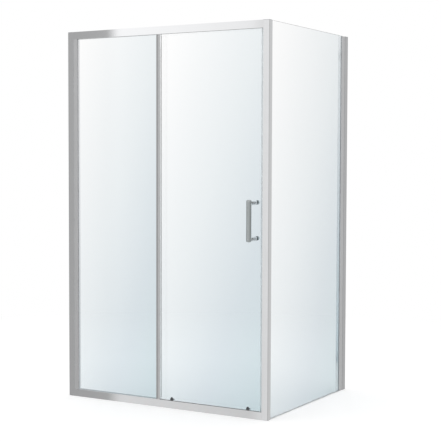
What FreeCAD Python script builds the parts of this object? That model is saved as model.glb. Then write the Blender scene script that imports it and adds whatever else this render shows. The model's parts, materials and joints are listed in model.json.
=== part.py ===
import FreeCAD, Part
import math
import os
import re

import Sketcher

# Shower enclosure with one sliding door, for a corner between two walls.
#
# The frame of reference: the origin is under the middle of the front sill. X runs
# along the front, from the left wall to the corner post. Y runs into the shower,
# square to the front. Z is up. All lengths are millimetres.
#
# The front frame is two wall-to-post rails, both cut from one extrusion: the bottom
# rail stands on its web and the top rail hangs from it. Each holds the fixed pane in
# a pocket behind its fascia, and has a rib that the door's wheels run on. The door
# hangs behind the rails on two top wheels. Two sprung bottom wheels press up under
# the bottom rail's rib, and let go when their buttons are pushed down.

# name, value, what it measures
SIZES = (
    ("overall_width", 1180, "front, from the left wall to the corner post's outer face"),
    ("overall_depth", 900, "side, from the front face to the rear wall"),
    ("overall_height", 1900, "tray to the top of the frame"),
    ("frame_depth", 30, "front frame, from its fascia to its back"),
    ("cap_thickness", 1.5, "plastic caps on the cut ends of the uprights"),
    ("glass_thickness", 6, "all panes"),
    ("gasket_thickness", 1.3, "rubber between glass and metal"),
    ("channel_width", 32, "how far a wall channel stands out from its wall"),
    ("channel_wall", 1.8, "metal of a wall channel"),
    ("wall_screw_hole", 5.5, "holes in a wall channel for the wall screws"),
    ("wall_screw_end", 150, "first and last wall screw, from the channel's ends"),
    ("stile_width", 47, "stile that telescopes in a wall channel"),
    ("stile_wall", 1.6, "metal of a stile"),
    ("stile_play", 0.4, "stile to wall channel, each side"),
    ("front_stile_reach", 24, "front stile showing past its wall channel"),
    ("side_stile_reach", 38, "side stile showing past its wall channel"),
    ("glass_slot_depth", 14, "slot for a pane's edge in a stile"),
    ("glass_bite", 13, "pane inside that slot"),
    ("gasket_lip", 2, "gasket standing past the stile's nose"),
    ("rail_height", 38, "fascia of each rail"),
    ("rail_wall", 1.8, "metal of a rail"),
    ("rail_end_gap", 0.3, "wall channel's lip to the rail's end"),
    ("rail_edge_radius", 1, "soft outer corners of the fascia"),
    ("pocket_play", 0.4, "mullion to the pocket's inner wall"),
    ("pane_foot", 6.2, "setting block under the fixed pane"),
    ("block_length", 60, "setting block"),
    ("block_inset", 90, "setting block, from the pane's corner"),
    ("rib_place", 22, "wheel rib, from the fascia's face"),
    ("rib_thickness", 2, "wheel rib"),
    ("rib_height", 5.2, "wheel rib, from its flange"),
    ("drip_height", 5, "upstand at the back of a rail's web"),
    ("bracket_length", 25, "corner bracket along the rail"),
    ("bracket_thickness", 3, "corner bracket"),
    ("bracket_width", 11, "corner bracket across the rail"),
    ("bracket_play", 0.5, "corner bracket to the pocket wall and the rib"),
    ("web_screw", 17, "screw through a rail's web, from the rail's end"),
    ("lock_screw_inset", 5, "stile's lock screws, from the wall channel's lip"),
    ("rail_screw", 4, "shank of a rail screw"),
    ("rail_screw_head", 7.5, "head of a rail screw"),
    ("rail_screw_head_height", 2.4, "head of a rail screw"),
    ("screw_play", 0.15, "screw shank to its hole, all round"),
    ("mullion_width", 22, "upright at the fixed pane's free edge"),
    ("mullion_wall", 1.4, "metal of the mullion"),
    ("mullion_play", 0.6, "mullion to pane"),
    ("mullion_ridge", 1, "ridge along the middle of the mullion's face"),
    ("mullion_lap", 20.9, "mullion over the door pane's rear edge"),
    ("post_width", 34, "corner post across the front"),
    ("post_wall", 1.8, "metal of the corner post"),
    ("post_radius", 2, "soft outer corner of the post"),
    ("side_channel_depth", 14, "channel in the post's slot that takes the side pane"),
    ("side_edge_gap", 2, "side pane to the floor of that channel"),
    ("sill_seal_height", 6, "strip under the side pane"),
    ("sill_seal_wall", 1, "strip under the side pane"),
    ("side_pane_foot", 2, "side pane above the tray"),
    ("strike_wall", 1.6, "metal of the strike"),
    ("strike_leg", 1.4, "legs that hold the strike's magnet"),
    ("strike_leg_reach", 8, "those legs, from the post's inner face"),
    ("strike_reach", 9.5, "strike magnet's face, from the post's inner face"),
    ("strike_inset", 10, "strike's ends, from the tray and the frame's top"),
    ("magnet_gap", 0.3, "between the two magnets with the door shut"),
    ("magnet_lap", 1, "magnet strips past the glass, each face"),
    ("door_gap", 6.5, "back of the front frame to the door pane"),
    ("door_width", 581.5, "door pane"),
    ("lock_seal_width", 9.2, "door's magnet seal past the pane's edge"),
    ("lock_seal_lap", 8, "its lips over the pane"),
    ("lock_seal_wall", 1, "its plastic"),
    ("interlock_wall", 1.4, "metal of the door's rear stile"),
    ("interlock_play", 0.3, "that stile to the pane"),
    ("interlock_edge_gap", 1.1, "that stile's floor to the pane's edge"),
    ("interlock_grip", 8, "how far it wraps the pane"),
    ("interlock_leg_place", 4, "its forward leg, from its rear face"),
    ("interlock_end_gap", 1, "its ends, from the rails"),
    ("wiper_width", 3.8, "wiper on the forward leg"),
    ("wiper_length", 3.6, "wiper on the forward leg"),
    ("wiper_gap", 0.3, "wiper to the mullion"),
    ("open_gap", 7, "open door to the front stile"),
    ("roller_spacing", 436, "between the two rollers of a rail"),
    ("running_gap", 0.3, "wheel to its rib"),
    ("top_groove_radius", 9.5, "top wheel at the bottom of its groove"),
    ("bottom_groove_radius", 8, "bottom wheel at the bottom of its groove"),
    ("flange_rise", 2.5, "wheel's flanges above its groove"),
    ("wheel_width", 8, "wheel along its axle"),
    ("groove_play", 0.3, "rib to the groove's flanks"),
    ("bearing_radius", 6.5, "ball bearing, outside"),
    ("bearing_width", 5, "ball bearing"),
    ("bearing_fit", 0.02, "ball bearing in its wheel, all round"),
    ("axle_radius", 2.5, "axles"),
    ("axle_fit", 0.04, "axle in its bearing, all round"),
    ("axle_head_radius", 4, "head that keeps a wheel on its axle"),
    ("axle_head", 1.1, "thickness of that head"),
    ("axle_collar_radius", 3.6, "step that keeps a bearing in place"),
    ("axle_end_play", 0.1, "axle's head and step to the bearing"),
    ("eccentric_offset", 2.5, "axle above the hole in the glass"),
    ("eccentric_flange_radius", 9.5, "eccentric's flange against the glass"),
    ("eccentric_flange", 4.8, "thickness of that flange"),
    ("bush_flange", 0.6, "plastic washer between metal and glass"),
    ("glass_hole_radius", 7, "top and bottom holes in the door pane"),
    ("spigot_radius", 5, "spigots through those holes"),
    ("bush_play", 0.1, "spigot to bush and bush to glass"),
    ("glass_hole_edge", 16, "top hole's middle to the pane's top edge"),
    ("cap_nut_radius", 11, "domed nuts behind the glass"),
    ("cap_nut_height", 7, "domed nuts behind the glass"),
    ("cap_nut_socket", 5, "their key socket, across flats"),
    ("cap_nut_floor", 3, "metal under a nut's face"),
    ("thread_play", 0.05, "screw to its threaded hole, all round"),
    ("thread_end_gap", 0.4, "end of a thread to the end of its hole"),
    ("door_foot", 8, "door pane above the tray"),
    ("housing_width", 17, "bottom roller's housing"),
    ("housing_foot", 5, "its lower end above the tray"),
    ("housing_top", 44, "its upper end above the tray"),
    ("housing_radius", 5, "its upper corners"),
    ("housing_gap", 0.6, "housing to the rail's back"),
    ("housing_back", 1.4, "its wall against the glass"),
    ("housing_side", 1.8, "its side walls"),
    ("slider_play", 0.25, "slider in its housing, each side"),
    ("shoulder_height", 38, "step that stops the slider"),
    ("button_width", 10, "release button"),
    ("button_top", 49, "release button above the tray"),
    ("button_radius", 3.5, "its upper corners"),
    ("slider_foot", 13.5, "slider's lower end above the tray"),
    ("spring_window", 4.4, "opening in the slider for the spring"),
    ("spring_window_height", 6, "that opening"),
    ("spring_radius", 1.6, "release spring, outside"),
    ("spring_wire", 0.5, "release spring"),
    ("bottom_hole_height", 30, "bottom glass hole above the tray"),
    ("stop_length", 18, "door stop along the rail"),
    ("stop_height", 20, "door stop above the flange"),
    ("stop_width", 10, "door stop across the rail"),
    ("stop_play", 0.2, "door stop to the rib"),
    ("handle_radius", 12.5, "bar of the handle"),
    ("handle_length", 200, "bar of the handle"),
    ("handle_height", 953, "middle of the handle above the tray"),
    ("handle_span", 172, "between the handle's two posts"),
    ("handle_post_radius", 11, "handle posts"),
    ("handle_reach", 74, "bar's middle to the door pane"),
    ("handle_inset", 33, "handle, from the door pane's lock edge"),
    ("handle_wall", 1.5, "tube of the bar"),
    ("handle_plug", 3, "plugs in the bar's ends"),
    ("handle_hole_play", 2, "screw to the hole in the glass, all round"),
    ("handle_collar_radius", 10.5, "dark collars at the glass"),
    ("handle_collar_height", 8, "dark collars at the glass"),
    ("handle_screw_radius", 3, "screws through the glass"),
    ("handle_screw_bite", 12, "screws inside the posts"),
    ("handle_washer", 0.8, "soft washers each side of the glass"),
    ("handle_nut_radius", 10.5, "round nuts behind the glass"),
    ("handle_nut_height", 12, "round nuts behind the glass"),
)

# Places and lengths that follow from the sizes.
PLACES = {
    "left_wall": "-overall_width / 2",
    "right_face": "overall_width / 2",
    "front_face": "-frame_depth / 2",
    "back_face": "frame_depth / 2",
    "rear_wall": "front_face + overall_depth",
    "upright_length": "overall_height - cap_thickness",
    # front stile and rails
    "channel_edge": "left_wall + channel_width",
    "front_nose": "channel_edge + front_stile_reach",
    "stile_front": "channel_wall + stile_play",
    "stile_back": "frame_depth - channel_wall - stile_play",
    "pane_setback": "stile_front + stile_wall + gasket_thickness",
    "slot_front": "stile_front + stile_wall",
    "slot_back": "pane_setback + glass_thickness + gasket_thickness",
    "slot_floor": "stile_width - glass_slot_depth",
    "seat_face": "stile_width - front_stile_reach + rail_end_gap",
    "rail_left": "channel_edge + rail_end_gap",
    "post_left": "right_face - post_width",
    "rail_length": "post_left - rail_left",
    "top_rail_foot": "overall_height - rail_height",
    # across a rail, from the fascia's face
    "pane_back": "pane_setback + glass_thickness",
    "mullion_setback": "pane_setback - mullion_play - mullion_wall",
    "mullion_back": "pane_back + mullion_play + mullion_wall",
    "pocket_back": "mullion_back + pocket_play",
    "track_front": "pocket_back + rail_wall",
    "flange_face": "rail_height - rail_wall",
    "rib_tip": "flange_face - rib_height",
    "bracket_front": "track_front + bracket_play",
    "bracket_rise": "rib_tip - rail_wall - bracket_play",
    "screw_line": "bracket_front + bracket_width / 2",
    "screw_rise": "rail_height / 2",
    # fixed pane
    "pane_left": "front_nose - glass_bite",
    "pane_front_y": "front_face + pane_setback",
    "pane_back_y": "pane_front_y + glass_thickness",
    "pane_bottom": "rail_wall + pane_foot",
    "pane_height": "overall_height - 2 * pane_bottom",
    "mullion_right": "door_left + mullion_lap",
    "mullion_left": "mullion_right - mullion_width",
    "mullion_front_y": "front_face + mullion_setback",
    "mullion_back_y": "front_face + mullion_back",
    "pane_right": "mullion_right - mullion_wall - mullion_play",
    # side panel
    "side_outer": "right_face - pane_setback",
    "side_inner": "side_outer - glass_thickness",
    "side_channel_left": "side_inner - gasket_thickness - stile_wall",
    "side_channel_right": "side_outer + gasket_thickness + stile_wall",
    "side_channel_start": "back_face - side_channel_depth",
    "side_pane_front": "side_channel_start + stile_wall + side_edge_gap",
    "side_nose": "rear_wall - channel_width - side_stile_reach",
    "side_pane_rear": "side_nose + glass_bite",
    # door
    "door_front": "back_face + door_gap",
    "door_back": "door_front + glass_thickness",
    "magnet_front": "door_front - magnet_lap",
    "magnet_back": "door_back + magnet_lap",
    "strike_face": "post_left - strike_reach",
    "lock_face": "strike_face - magnet_gap",
    "door_right": "lock_face - lock_seal_width",
    "door_left": "door_right - door_width",
    "door_middle": "door_right - door_width / 2",
    "interlock_left": "door_left - interlock_edge_gap - interlock_wall",
    "interlock_right": "interlock_left + interlock_grip",
    "interlock_leg": "interlock_left + interlock_leg_place",
    "wiper_front": "mullion_back_y + wiper_gap",
    "wiper_back": "wiper_front + wiper_length",
    "interlock_foot": "rail_height + interlock_end_gap",
    "interlock_length": "overall_height - 2 * interlock_foot",
    "door_travel": "interlock_left - front_nose - open_gap",
    "roller_left": "door_middle - roller_spacing / 2",
    "roller_right": "door_middle + roller_spacing / 2",
    # wheels, along their axles
    "wheel_front": "front_face + rib_place - wheel_width / 2",
    "groove_half": "rib_thickness / 2 + groove_play",
    "bearing_front": "wheel_front + (wheel_width - bearing_width) / 2",
    "bearing_back": "bearing_front + bearing_width",
    "top_axle_height": "overall_height - rib_tip + running_gap + top_groove_radius",
    "bottom_axle_height": "rib_tip - running_gap - bottom_groove_radius",
    "top_hole_height": "top_axle_height - eccentric_offset",
    "door_top": "top_hole_height + glass_hole_edge",
    "eccentric_back": "door_front - bush_flange",
    "eccentric_front": "eccentric_back - eccentric_flange",
    "nut_seat": "door_back + bush_flange",
    # bottom rollers, across
    "housing_front": "back_face + housing_gap",
    "housing_rear": "door_front - bush_flange",
    "cavity_rear": "housing_rear - housing_back",
    "slider_front": "housing_front + slider_play",
    "slider_rear": "cavity_rear - slider_play",
    "cavity_half": "housing_width / 2 - housing_side",
    "throat_half": "button_width / 2 + slider_play",
    "cavity_foot": "housing_foot + housing_side",
    # handle
    "handle_x": "door_right - handle_inset",
    "handle_y": "door_front - handle_reach",
    "handle_low": "handle_height - handle_span / 2",
    "handle_high": "handle_height + handle_span / 2",
    "collar_back": "door_front - handle_washer",
    "collar_front": "collar_back - handle_collar_height",
    "handle_nut_front": "door_back + handle_washer",
}

doc = FreeCAD.newDocument("ShowerEnclosure")
sheet = doc.addObject("Spreadsheet::Sheet", "Sizes")
for row, (alias, size, meaning) in enumerate(SIZES, start=1):
    sheet.set(f"A{row}", alias)
    sheet.set(f"B{row}", str(size))
    sheet.set(f"C{row}", meaning)
    sheet.setAlias(f"B{row}", alias)
doc.recompute()

SIZE_NAMES = {alias for alias, size, meaning in SIZES}
NODES, CUTS = [], []


def bind(text):
    """The expression with each place written out and each size read from the sheet."""

    def swap(match):
        word = match.group()
        if word in PLACES:
            return f"({bind(PLACES[word])})"
        return f"Sizes.{word}" if word in SIZE_NAMES else word

    return re.sub(r"[a-z_]+", swap, str(text))


def measure(text):
    """The value of an expression, in millimetres."""
    return float(sheet.evalExpression(bind(text)))


def tie(thing, prop, text):
    """Bind a property to an expression on the sizes."""
    thing.setExpression(prop, bind(text))


def place(thing, x="0", y="0", z="0", turn=None):
    """Put an object at x, y, z, turned by a rotation when one is given."""
    if turn is not None:
        thing.Placement = FreeCAD.Placement(FreeCAD.Vector(), turn)
    for axis, text in zip("xyz", (x, y, z)):
        tie(thing, f"Placement.Base.{axis}", text)


def keep(thing, label):
    """Name a sub-part and list it for its own file."""
    thing.Label = label
    NODES.append(thing)
    return thing


def new_body(label):
    """An empty body."""
    body = doc.addObject("PartDesign::Body", label)
    body.Label = label
    return body


def new_sketch(body, role, start="0"):
    """A sketch on one of the body's origin planes, moved to start along its axis."""
    plane = next(item for item in body.Origin.OriginFeatures if item.Role == role)
    sketch = body.newObject("Sketcher::SketchObject", f"{body.Name}Sketch")
    sketch.AttachmentSupport = [(plane, "")]
    sketch.MapMode = "FlatFace"
    tie(sketch, "AttachmentOffset.Base.z", f"-({start})" if role == "XZ_Plane" else start)
    return sketch


def fix_points(sketch, points):
    """Hold points of a sketch, each (item, end, x, y)."""
    first = sketch.ConstraintCount
    held = [(kind, item, end, text) for item, end, x, y in points
            for kind, text in (("DistanceX", x), ("DistanceY", y))]
    sketch.addConstraint([Sketcher.Constraint(kind, item, end, measure(text))
                          for kind, item, end, text in held])
    for number, (kind, item, end, text) in enumerate(held, start=first):
        tie(sketch, f"Constraints[{number}]", text)


def fix_radius(sketch, item, text):
    """Hold the radius of an arc or a circle."""
    number = sketch.addConstraint(Sketcher.Constraint("Radius", item, measure(text)))
    tie(sketch, f"Constraints[{number}]", text)


def toward(text, radius, here, there):
    """The coordinate one radius away from a corner, on the way to the next corner."""
    step = measure(there) - measure(here)
    if abs(step) < 1e-9:
        return text
    return f"({text}) {'+' if step > 0 else '-'} ({radius})"


def draw(sketch, outline):
    """A closed outline. A corner is (x, y), or (x, y, radius) between square sides."""
    count = len(outline)
    starts, ends, arcs = [], [], []
    for number, corner in enumerate(outline):
        if len(corner) == 2:
            ends.append(corner)
            starts.append(corner)
            continue
        x, y, radius = corner
        before, after = outline[number - 1], outline[(number + 1) % count]
        ends.append((toward(x, radius, x, before[0]), toward(y, radius, y, before[1])))
        starts.append((toward(x, radius, x, after[0]), toward(y, radius, y, after[1])))
        arcs.append((number, radius))
    first_line, segments, points, joins = sketch.GeometryCount, [], [], []
    for number in range(count):
        after = (number + 1) % count
        first, last = starts[number], ends[after]
        segments.append(Part.LineSegment(*[FreeCAD.Vector(measure(x), measure(y), 0)
                                           for x, y in (first, last)]))
        points.append((first_line + number, 1, *first))
        if len(outline[after]) == 3:
            points.append((first_line + number, 2, *last))
        else:
            joins.append(Sketcher.Constraint("Coincident", first_line + number, 2,
                                             first_line + after, 1))
    sketch.addGeometry(segments, False)
    sketch.addConstraint(joins)
    fix_points(sketch, points)
    lines = range(first_line, first_line + count)
    for number, radius in arcs:
        add_arc(sketch, lines[number - 1], lines[number], radius)


def add_arc(sketch, line_in, line_out, radius):
    """The arc that rounds the corner between two lines."""
    first = sketch.Geometry[line_in].EndPoint
    last = sketch.Geometry[line_out].StartPoint
    along = sketch.Geometry[line_in].EndPoint - sketch.Geometry[line_in].StartPoint
    across = last - first
    left_turn = along.x * across.y - along.y * across.x > 0
    side = FreeCAD.Vector(-along.y, along.x, 0).normalize()
    centre = first + side * (measure(radius) if left_turn else -measure(radius))
    middle = (first + last) * 0.5 - centre
    middle = centre + middle.normalize() * measure(radius)
    arc = sketch.addGeometry(Part.Arc(first, middle, last), False)
    near_start = (sketch.Geometry[arc].StartPoint - first).Length < 1e-6
    start, end = (1, 2) if near_start else (2, 1)
    sketch.addConstraint(Sketcher.Constraint("Coincident", arc, start, line_in, 2))
    sketch.addConstraint(Sketcher.Constraint("Coincident", arc, end, line_out, 1))
    fix_radius(sketch, arc, radius)


def draw_circle(sketch, x, y, radius):
    """A full circle."""
    centre = FreeCAD.Vector(measure(x), measure(y), 0)
    circle = Part.Circle(centre, FreeCAD.Vector(0, 0, 1), measure(radius))
    item = sketch.addGeometry(circle, False)
    fix_points(sketch, [(item, 3, x, y)])
    fix_radius(sketch, item, radius)


def pad(body, role, outlines, length, start="0", circles=()):
    """Extrude outlines and circles along the plane's axis, from start."""
    sketch = new_sketch(body, role, start)
    for outline in outlines:
        draw(sketch, outline)
    for circle in circles:
        draw_circle(sketch, *circle)
    feature = body.newObject("PartDesign::Pad", f"{body.Name}Pad")
    feature.Profile = sketch
    feature.Reversed = role == "XZ_Plane"
    tie(feature, "Length", length)
    return feature


def pocket(body, role, length, outlines=(), circles=(), start="0"):
    """Cut along the plane's axis, from start. The end of this file checks each cut."""
    sketch = new_sketch(body, role, start)
    for outline in outlines:
        draw(sketch, outline)
    for circle in circles:
        draw_circle(sketch, *circle)
    feature = body.newObject("PartDesign::Pocket", f"{body.Name}Pocket")
    feature.Profile = sketch
    feature.Reversed = role != "XZ_Plane"
    tie(feature, "Length", length)
    CUTS.append((body.Label, feature))


def rectangle(x_low, y_low, x_high, y_high):
    """The four corners of a rectangle."""
    return [(x_low, y_low), (x_high, y_low), (x_high, y_high), (x_low, y_high)]


def polygon(radius, sides, x="0", y="0"):
    """A regular polygon whose corners lie on a circle."""
    corners = []
    for number in range(sides):
        angle = math.radians(360 * (number + 0.5) / sides)
        corners.append((f"({x}) + ({radius}) * {math.cos(angle):.6f}",
                        f"({y}) + ({radius}) * {math.sin(angle):.6f}"))
    return corners


def bore(radius, sides, x="0", y="0"):
    """A regular polygon that clears a circle."""
    return polygon(f"({radius}) * {1 / math.cos(math.pi / sides):.6f}", sides, x, y)


def upright(label, outlines, low, length):
    """A piece extruded along Z, drawn in the enclosure's own X and Y."""
    body = new_body(label)
    pad(body, "XY_Plane", outlines, length)
    place(body, z=low)
    return body


def stack(label, steps, x="0", z="0", sides=None):
    """Plain steps along Y, each (hole's radius or None, radius, start, end).

    With sides, each step is a regular polygon, and without, it is round."""
    body = new_body(label)
    for hole, radius, start, end in steps:
        outlines = [bore(hole, RING_SIDES)] if hole else []
        if sides:
            outlines.append(polygon(radius, sides))
        pad(body, "XZ_Plane", outlines, f"({end}) - ({start})", start=start,
            circles=[] if sides else [("0", "0", radius)])
    place(body, x=x, z=z)
    return body


def group(label, members):
    """Separate solids that share one node."""
    compound = doc.addObject("Part::Compound", label)
    compound.Links = members
    return keep(compound, label)


TURN_OVER = FreeCAD.Rotation(FreeCAD.Vector(0, 1, 0), 180)
TO_REAR_WALL = FreeCAD.Rotation(FreeCAD.Vector(1, -1, 0), 180)
QUARTER_LEFT = FreeCAD.Rotation(FreeCAD.Vector(0, 0, 1), 90)
QUARTER_RIGHT = FreeCAD.Rotation(FreeCAD.Vector(0, 0, 1), -90)
WALL_SCREWS = 4
LOCK_SCREW_STEPS = (0.08, 0.5, 0.92)
# Sides of the small parts that are drawn as polygons, to keep the model light.
WHEEL_SIDES, HOLE_SIDES, RING_SIDES, BOLT_SIDES = 24, 16, 12, 8
SCREW_HOLE = "rail_screw / 2 + screw_play"


# ---- wall channels and stiles ------------------------------------------------

def wall_channel(label):
    """The channel screwed to a wall, drawn with the wall at its left."""
    outline = [
        ("0", "0"), ("channel_width", "0"), ("channel_width", "channel_wall"),
        ("channel_wall", "channel_wall"), ("channel_wall", "frame_depth - channel_wall"),
        ("channel_width", "frame_depth - channel_wall"),
        ("channel_width", "frame_depth"), ("0", "frame_depth"),
    ]
    body = new_body(label)
    pad(body, "XY_Plane", [outline], "upright_length")
    pitch = f"(upright_length - 2 * wall_screw_end) / {WALL_SCREWS - 1}"
    holes = [
        ("frame_depth / 2", f"wall_screw_end + {number} * {pitch}", "wall_screw_hole / 2")
        for number in range(WALL_SCREWS)
    ]
    pocket(body, "YZ_Plane", "channel_wall", circles=holes)
    lock_holes(body, "channel_width - lock_screw_inset", "frame_depth - channel_wall",
               "channel_wall")
    return keep(body, label)


def lock_holes(body, x, y, depth):
    """Holes for the screws that lock a stile in its channel, through the inner wall."""
    holes = [bore(SCREW_HOLE, BOLT_SIDES, x, f"upright_length * {step}")
             for step in LOCK_SCREW_STEPS]
    pocket(body, "XZ_Plane", depth, holes, start=y)


def stile(label, reach):
    """The extrusion that telescopes in a wall channel and holds a pane's edge."""
    outer = [
        ("0", "stile_front"), ("stile_width", "stile_front"), ("stile_width", "slot_front"),
        ("slot_floor", "slot_front"), ("slot_floor", "slot_back"),
        ("stile_width", "slot_back"), ("stile_width", "stile_back"), ("0", "stile_back"),
    ]
    back_inside = "stile_back - stile_wall"
    chambers = [
        rectangle("stile_wall", "slot_front", "seat_face - stile_wall", back_inside),
        rectangle("seat_face", "slot_front", "slot_floor - stile_wall", back_inside),
        rectangle("slot_floor", "slot_back + stile_wall", "stile_width - stile_wall",
                  back_inside),
    ]
    body = new_body(label)
    pad(body, "XY_Plane", [outer] + chambers, "upright_length")
    inner_end = f"channel_width + {reach} - stile_width"
    lock_holes(body, f"channel_width - lock_screw_inset - ({inner_end})",
               "stile_back - stile_wall", "stile_wall")
    return keep(body, label), inner_end


def edge_gasket(label, leg, length):
    """A U-shaped gasket round a pane's edge. The edge is at 0 and the pane lies to +X."""
    outline = [
        ("-gasket_thickness / 2", "-gasket_thickness"), (leg, "-gasket_thickness"),
        (leg, "0"), ("0", "0"), ("0", "glass_thickness"), (leg, "glass_thickness"),
        (leg, "glass_thickness + gasket_thickness"),
        ("-gasket_thickness / 2", "glass_thickness + gasket_thickness"),
    ]
    body = new_body(label)
    pad(body, "XY_Plane", [outline], length)
    return keep(body, label)


front_channel = wall_channel("front_wall_channel")
place(front_channel, "left_wall", "front_face")
side_channel = wall_channel("side_wall_channel")
place(side_channel, "right_face", "rear_wall", "upright_length", TO_REAR_WALL)

front_stile, front_inner_end = stile("front_stile", "front_stile_reach")
place(front_stile, f"left_wall + {front_inner_end}", "front_face")
for notch_foot in ("-1", "top_rail_foot"):
    pocket(front_stile, "XY_Plane", "rail_height + 1", start=notch_foot,
           outlines=[rectangle("seat_face", "0", "stile_width + 1", "frame_depth")])
seat_screws = [bore(SCREW_HOLE, BOLT_SIDES, "screw_line", height)
               for height in ("screw_rise", "overall_height - screw_rise")]
pocket(front_stile, "YZ_Plane", "stile_wall", seat_screws, start="seat_face - stile_wall")

side_stile, side_inner_end = stile("side_stile", "side_stile_reach")
place(side_stile, "right_face", f"rear_wall - ({side_inner_end})", "upright_length",
      TO_REAR_WALL)

jamb_gasket = edge_gasket("front_stile_gasket", "glass_bite + gasket_lip",
                          "top_rail_foot - rail_height")
place(jamb_gasket, "pane_left", "pane_front_y", "rail_height")
side_gasket = edge_gasket("side_stile_gasket", "glass_bite + gasket_lip",
                          "upright_length")
place(side_gasket, "side_inner", "side_pane_rear", "0", QUARTER_RIGHT)


# ---- rails -------------------------------------------------------------------

def rail(label):
    """The rail extrusion, standing on its web, with its fascia at the front."""
    rib_front = "rib_place - rib_thickness / 2"
    rib_back = "rib_place + rib_thickness / 2"
    outline = [
        ("0", "0", "rail_edge_radius"), ("frame_depth", "0"),
        ("frame_depth", "drip_height"), ("frame_depth - rail_wall", "drip_height"),
        ("frame_depth - rail_wall", "rail_wall"), ("track_front", "rail_wall"),
        ("track_front", "flange_face"), (rib_front, "flange_face"),
        (rib_front, "rib_tip", "rib_thickness * 0.4"),
        (rib_back, "rib_tip", "rib_thickness * 0.4"), (rib_back, "flange_face"),
        ("frame_depth", "flange_face"), ("frame_depth", "rail_height"),
        ("pocket_back", "rail_height"), ("pocket_back", "rail_wall"),
        ("rail_wall", "rail_wall"), ("rail_wall", "rail_height"),
        ("0", "rail_height", "rail_edge_radius"),
    ]
    body = new_body(label)
    pad(body, "YZ_Plane", [outline], "rail_length")
    web_holes = [bore(SCREW_HOLE, BOLT_SIDES, x, "screw_line")
                 for x in ("web_screw", "rail_length - web_screw")]
    pocket(body, "XY_Plane", "rail_wall", web_holes)
    return keep(body, label)


bottom_rail = rail("bottom_rail")
place(bottom_rail, "rail_left", "front_face", "0")
top_rail = rail("top_rail")
place(top_rail, "post_left", "front_face", "overall_height", TURN_OVER)


def bracket(name):
    """An angle that ties a rail's end to an upright, drawn for the lower left corner."""
    rise = "rail_wall + bracket_rise"
    outline = [
        ("0", "rail_wall"), ("bracket_length", "rail_wall"),
        ("bracket_length", "rail_wall + bracket_thickness"),
        ("bracket_thickness", "rail_wall + bracket_thickness"),
        ("bracket_thickness", rise), ("0", rise),
    ]
    body = new_body(name)
    pad(body, "XZ_Plane", [outline], "bracket_width", start="-bracket_width / 2")
    pocket(body, "YZ_Plane", "bracket_thickness",
           [bore(SCREW_HOLE, BOLT_SIDES, "0", "screw_rise")])
    pocket(body, "XY_Plane", "bracket_thickness",
           [bore(SCREW_HOLE, BOLT_SIDES, "web_screw", "0")], start="rail_wall")
    return body


def screw(name, grip):
    """A screw along +Z, with the seat of its head at 0 and its tip below."""
    body = new_body(name)
    pad(body, "XY_Plane", [polygon("rail_screw / 2", BOLT_SIDES)], grip, start=f"-({grip})")
    pad(body, "XY_Plane", [polygon("rail_screw_head / 2", BOLT_SIDES)],
        "rail_screw_head_height")
    return body


def facing(x, y, z):
    """The rotation that points a screw's head along x, y, z."""
    return FreeCAD.Rotation(FreeCAD.Vector(0, 0, 1), FreeCAD.Vector(x, y, z))


brackets, rail_screws = [], []
for level, foot, up, turns in (
        ("Lower", "0", 1, (None, FreeCAD.Rotation(FreeCAD.Vector(0, 0, 1), 180))),
        ("Upper", "overall_height", -1, (FreeCAD.Rotation(FreeCAD.Vector(1, 0, 0), 180),
                                         TURN_OVER))):
    for side, end, inward, wall, turn in (("Left", "rail_left", 1, "stile_wall", turns[0]),
                                          ("Right", "post_left", -1, "post_wall", turns[1])):
        line = "front_face + screw_line"
        angle = bracket(f"Bracket{level}{side}")
        place(angle, end, line, foot, turn)
        brackets.append(angle)
        across = screw(f"SideScrew{level}{side}", f"bracket_thickness + {wall}")
        place(across, f"{end} + {inward} * bracket_thickness", line,
              f"{foot} + {up} * screw_rise", facing(inward, 0, 0))
        down = screw(f"WebScrew{level}{side}", "bracket_thickness + rail_wall")
        place(down, f"{end} + {inward} * web_screw", line,
              f"{foot} + {up} * (rail_wall + bracket_thickness)", facing(0, 0, up))
        rail_screws += [across, down]
group("rail_brackets", brackets)
group("rail_screws", rail_screws)

lock_screws = []
for step in LOCK_SCREW_STEPS:
    front_lock = screw(f"FrontLockScrew{round(step * 100)}", "channel_wall + stile_play + stile_wall")
    place(front_lock, "channel_edge - lock_screw_inset", "back_face",
          f"upright_length * {step}", facing(0, 1, 0))
    side_lock = screw(f"SideLockScrew{round(step * 100)}", "channel_wall + stile_play + stile_wall")
    place(side_lock, "right_face - frame_depth", "rear_wall - channel_width + lock_screw_inset",
          f"upright_length * (1 - {step})", facing(-1, 0, 0))
    lock_screws += [front_lock, side_lock]
group("channel_lock_screws", lock_screws)


# ---- fixed pane and mullion --------------------------------------------------

fixed_glass = upright("fixed_glass", [rectangle("pane_left", "pane_front_y", "pane_right",
                                                "pane_back_y")], "pane_bottom", "pane_height")
keep(fixed_glass, "fixed_glass")

mullion = upright("mullion", [[
    ("mullion_left", "mullion_front_y"),
    ("mullion_right - mullion_width / 2", "mullion_front_y - mullion_ridge"),
    ("mullion_right", "mullion_front_y"),
    ("mullion_right", "mullion_back_y"), ("mullion_left", "mullion_back_y"),
    ("mullion_left", "mullion_back_y - mullion_wall"),
    ("mullion_right - mullion_wall", "mullion_back_y - mullion_wall"),
    ("mullion_right - mullion_wall", "mullion_front_y + mullion_wall"),
    ("mullion_left", "mullion_front_y + mullion_wall"),
]], "pane_bottom", "pane_height")
keep(mullion, "mullion")


def pocket_gaskets(level, foot):
    """The strips that press the pane's horizontal edge from both sides of its pocket."""
    strips = []
    depth = "rail_height / 3"
    front = rectangle("front_face + rail_wall", "0", "pane_front_y", depth)
    back = rectangle("pane_back_y", "0", "front_face + pocket_back", depth)
    for face, outline in (("Front", front), ("Back", back)):
        body = new_body(f"{level}{face}Strip")
        pad(body, "YZ_Plane", [outline], "mullion_left - front_nose")
        place(body, "front_nose", z=foot)
        strips.append(body)
    return strips


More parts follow.
